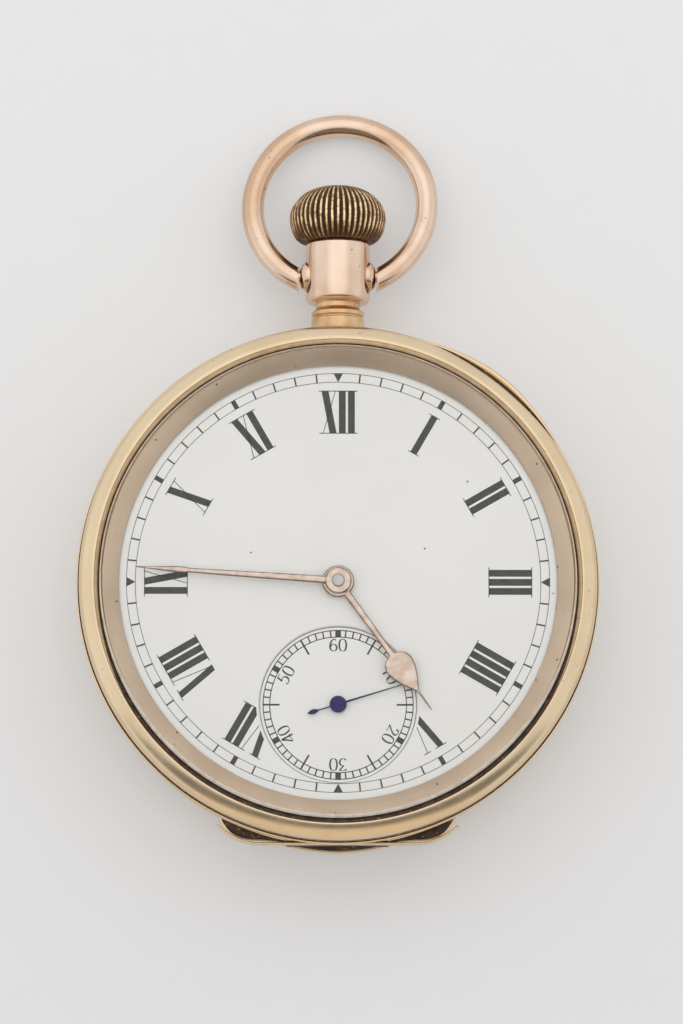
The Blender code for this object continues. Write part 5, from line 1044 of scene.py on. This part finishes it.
def makeJewel(x, y):
    # lathe of a ring with a dished mouth
    inner, outer, dish = jewels["inner"], jewels["outer"], jewels["dish"]
    low, high = jewels["level"] - jewels["tall"], jewels["level"] + jewels["sink"]
    corners = [(inner, low + jewels["dishDepth"]), (inner + dish, low), (outer, low), (outer, high), (inner, high)]
    return gridMesh(latheAt(softProfile(corners, 0.03, 3), 28, x, y), True, True)


putPiece("bridgeScrews", joinMeshes([makeScrew(x, y) for x, y, turn in screws["places"]]), "case", "steel",
         smooth=False)
# the slots' dark slabs are painted shade
putPiece("screwSlotShade", joinMeshes([makeSlot(*place) for place in screws["places"]]), "case", "grime",
         smooth=False)
putPiece("bridgeJewels", joinMeshes([makeJewel(*place) for place in jewels["places"]]), "case", "ruby")
print("small work made")

# movement: each node keeps its shape and takes its metal
metals = {"gilt_brass": "giltBrass", "steel": "steel", "blued_steel": "blued", "ruby": "ruby",
          "yellow_gold": "yellowGold", "rose_gold": "roseGold", "white_enamel": "enamel", "crystal_glass": "glass",
          "worn_brass": "crown"}
for sub in frame["record"]["subparts"]:
    node = nodes[sub["node"]]
    node.data.materials.clear()
    node.data.materials.append(finishes[metals[sub["material_slot"]]])

# stage: floor, light and camera
stage = dict(half=900.0, level=-0.05)
half, level = stage["half"], stage["level"]
floorMesh = gridMesh(np.array([[[x, y, level] for y in (-half, half)] for x in (-half, half)]))
floorMesh.flip_normals()
floorMesh.materials.append(floorFinish())
floor = bpy.data.objects.new("floor", floorMesh)
bpy.context.scene.collection.objects.link(floor)

# light tent: walls W = 0.87 + 0.1 x^2 - 0.03 x, a soft panel overhead towards +Y, a dark gap in front at 35 to 50
# degrees, and warmer light from the front
world = bpy.data.worlds.new("studio")
bpy.context.scene.world = world
world.use_nodes = True
world.node_tree.nodes.clear()
sky = Wire(world.node_tree)
skyX, skyY, skyZ = sky.node("ShaderNodeTexCoord", output=0).axes()
walls = 0.87 + 0.1 * skyX * skyX - 0.03 * skyX
forward = skyY * -1.0
gap = forward.between(0.4, 0.56) * (1.0 - forward.between(0.72, 0.86)) * skyZ.between(0.1, 0.4)
panel = (0.35 * skyY + 0.94 * skyZ).between(0.7, 0.97)
glow = (walls + 0.36 * panel) * (1.0 - 0.74 * gap)
warmth = forward.between(0.6, 0.95)
tent = sky.node("ShaderNodeBackground", {}, {"Color": warmth.mix((1.0, 1.0, 1.0, 1.0), (1.0, 0.86, 0.68, 1.0)),
                                             "Strength": glow})
skyOut = world.node_tree.nodes.new("ShaderNodeOutputWorld")
world.node_tree.links.new(tent.socket, skyOut.inputs["Surface"])

# camera: the aim is in millimetres, the distance in metres, the angles in degrees
shot = dict(down=8.7, left=0.62, distance=0.7, aim=(0.327, 6.91, 9.0), pixelsPerMm=10.375, pixelsTall=1024)
cameraData = bpy.data.cameras.new("camera")
cameraData.lens = shot["pixelsPerMm"] * cameraData.sensor_width * shot["distance"] / mm / shot["pixelsTall"]
cameraData.clip_start, cameraData.clip_end = 0.01, 20.0
camera = bpy.data.objects.new("camera", cameraData)
down, left = math.radians(shot["down"]), math.radians(shot["left"])
backward = Vector((-math.sin(left), -math.sin(down) * math.cos(left), math.cos(down) * math.cos(left)))
camera.location = Vector(shot["aim"]) * mm + backward * shot["distance"]
rightward = Vector((0.0, 1.0, 0.0)).cross(backward).normalized()
camera.rotation_euler = Matrix((rightward, backward.cross(rightward), backward)).transposed().to_euler()
bpy.context.scene.collection.objects.link(camera)
bpy.context.scene.camera = camera
bpy.context.scene.view_settings.view_transform = "Standard"

print("scene ready")
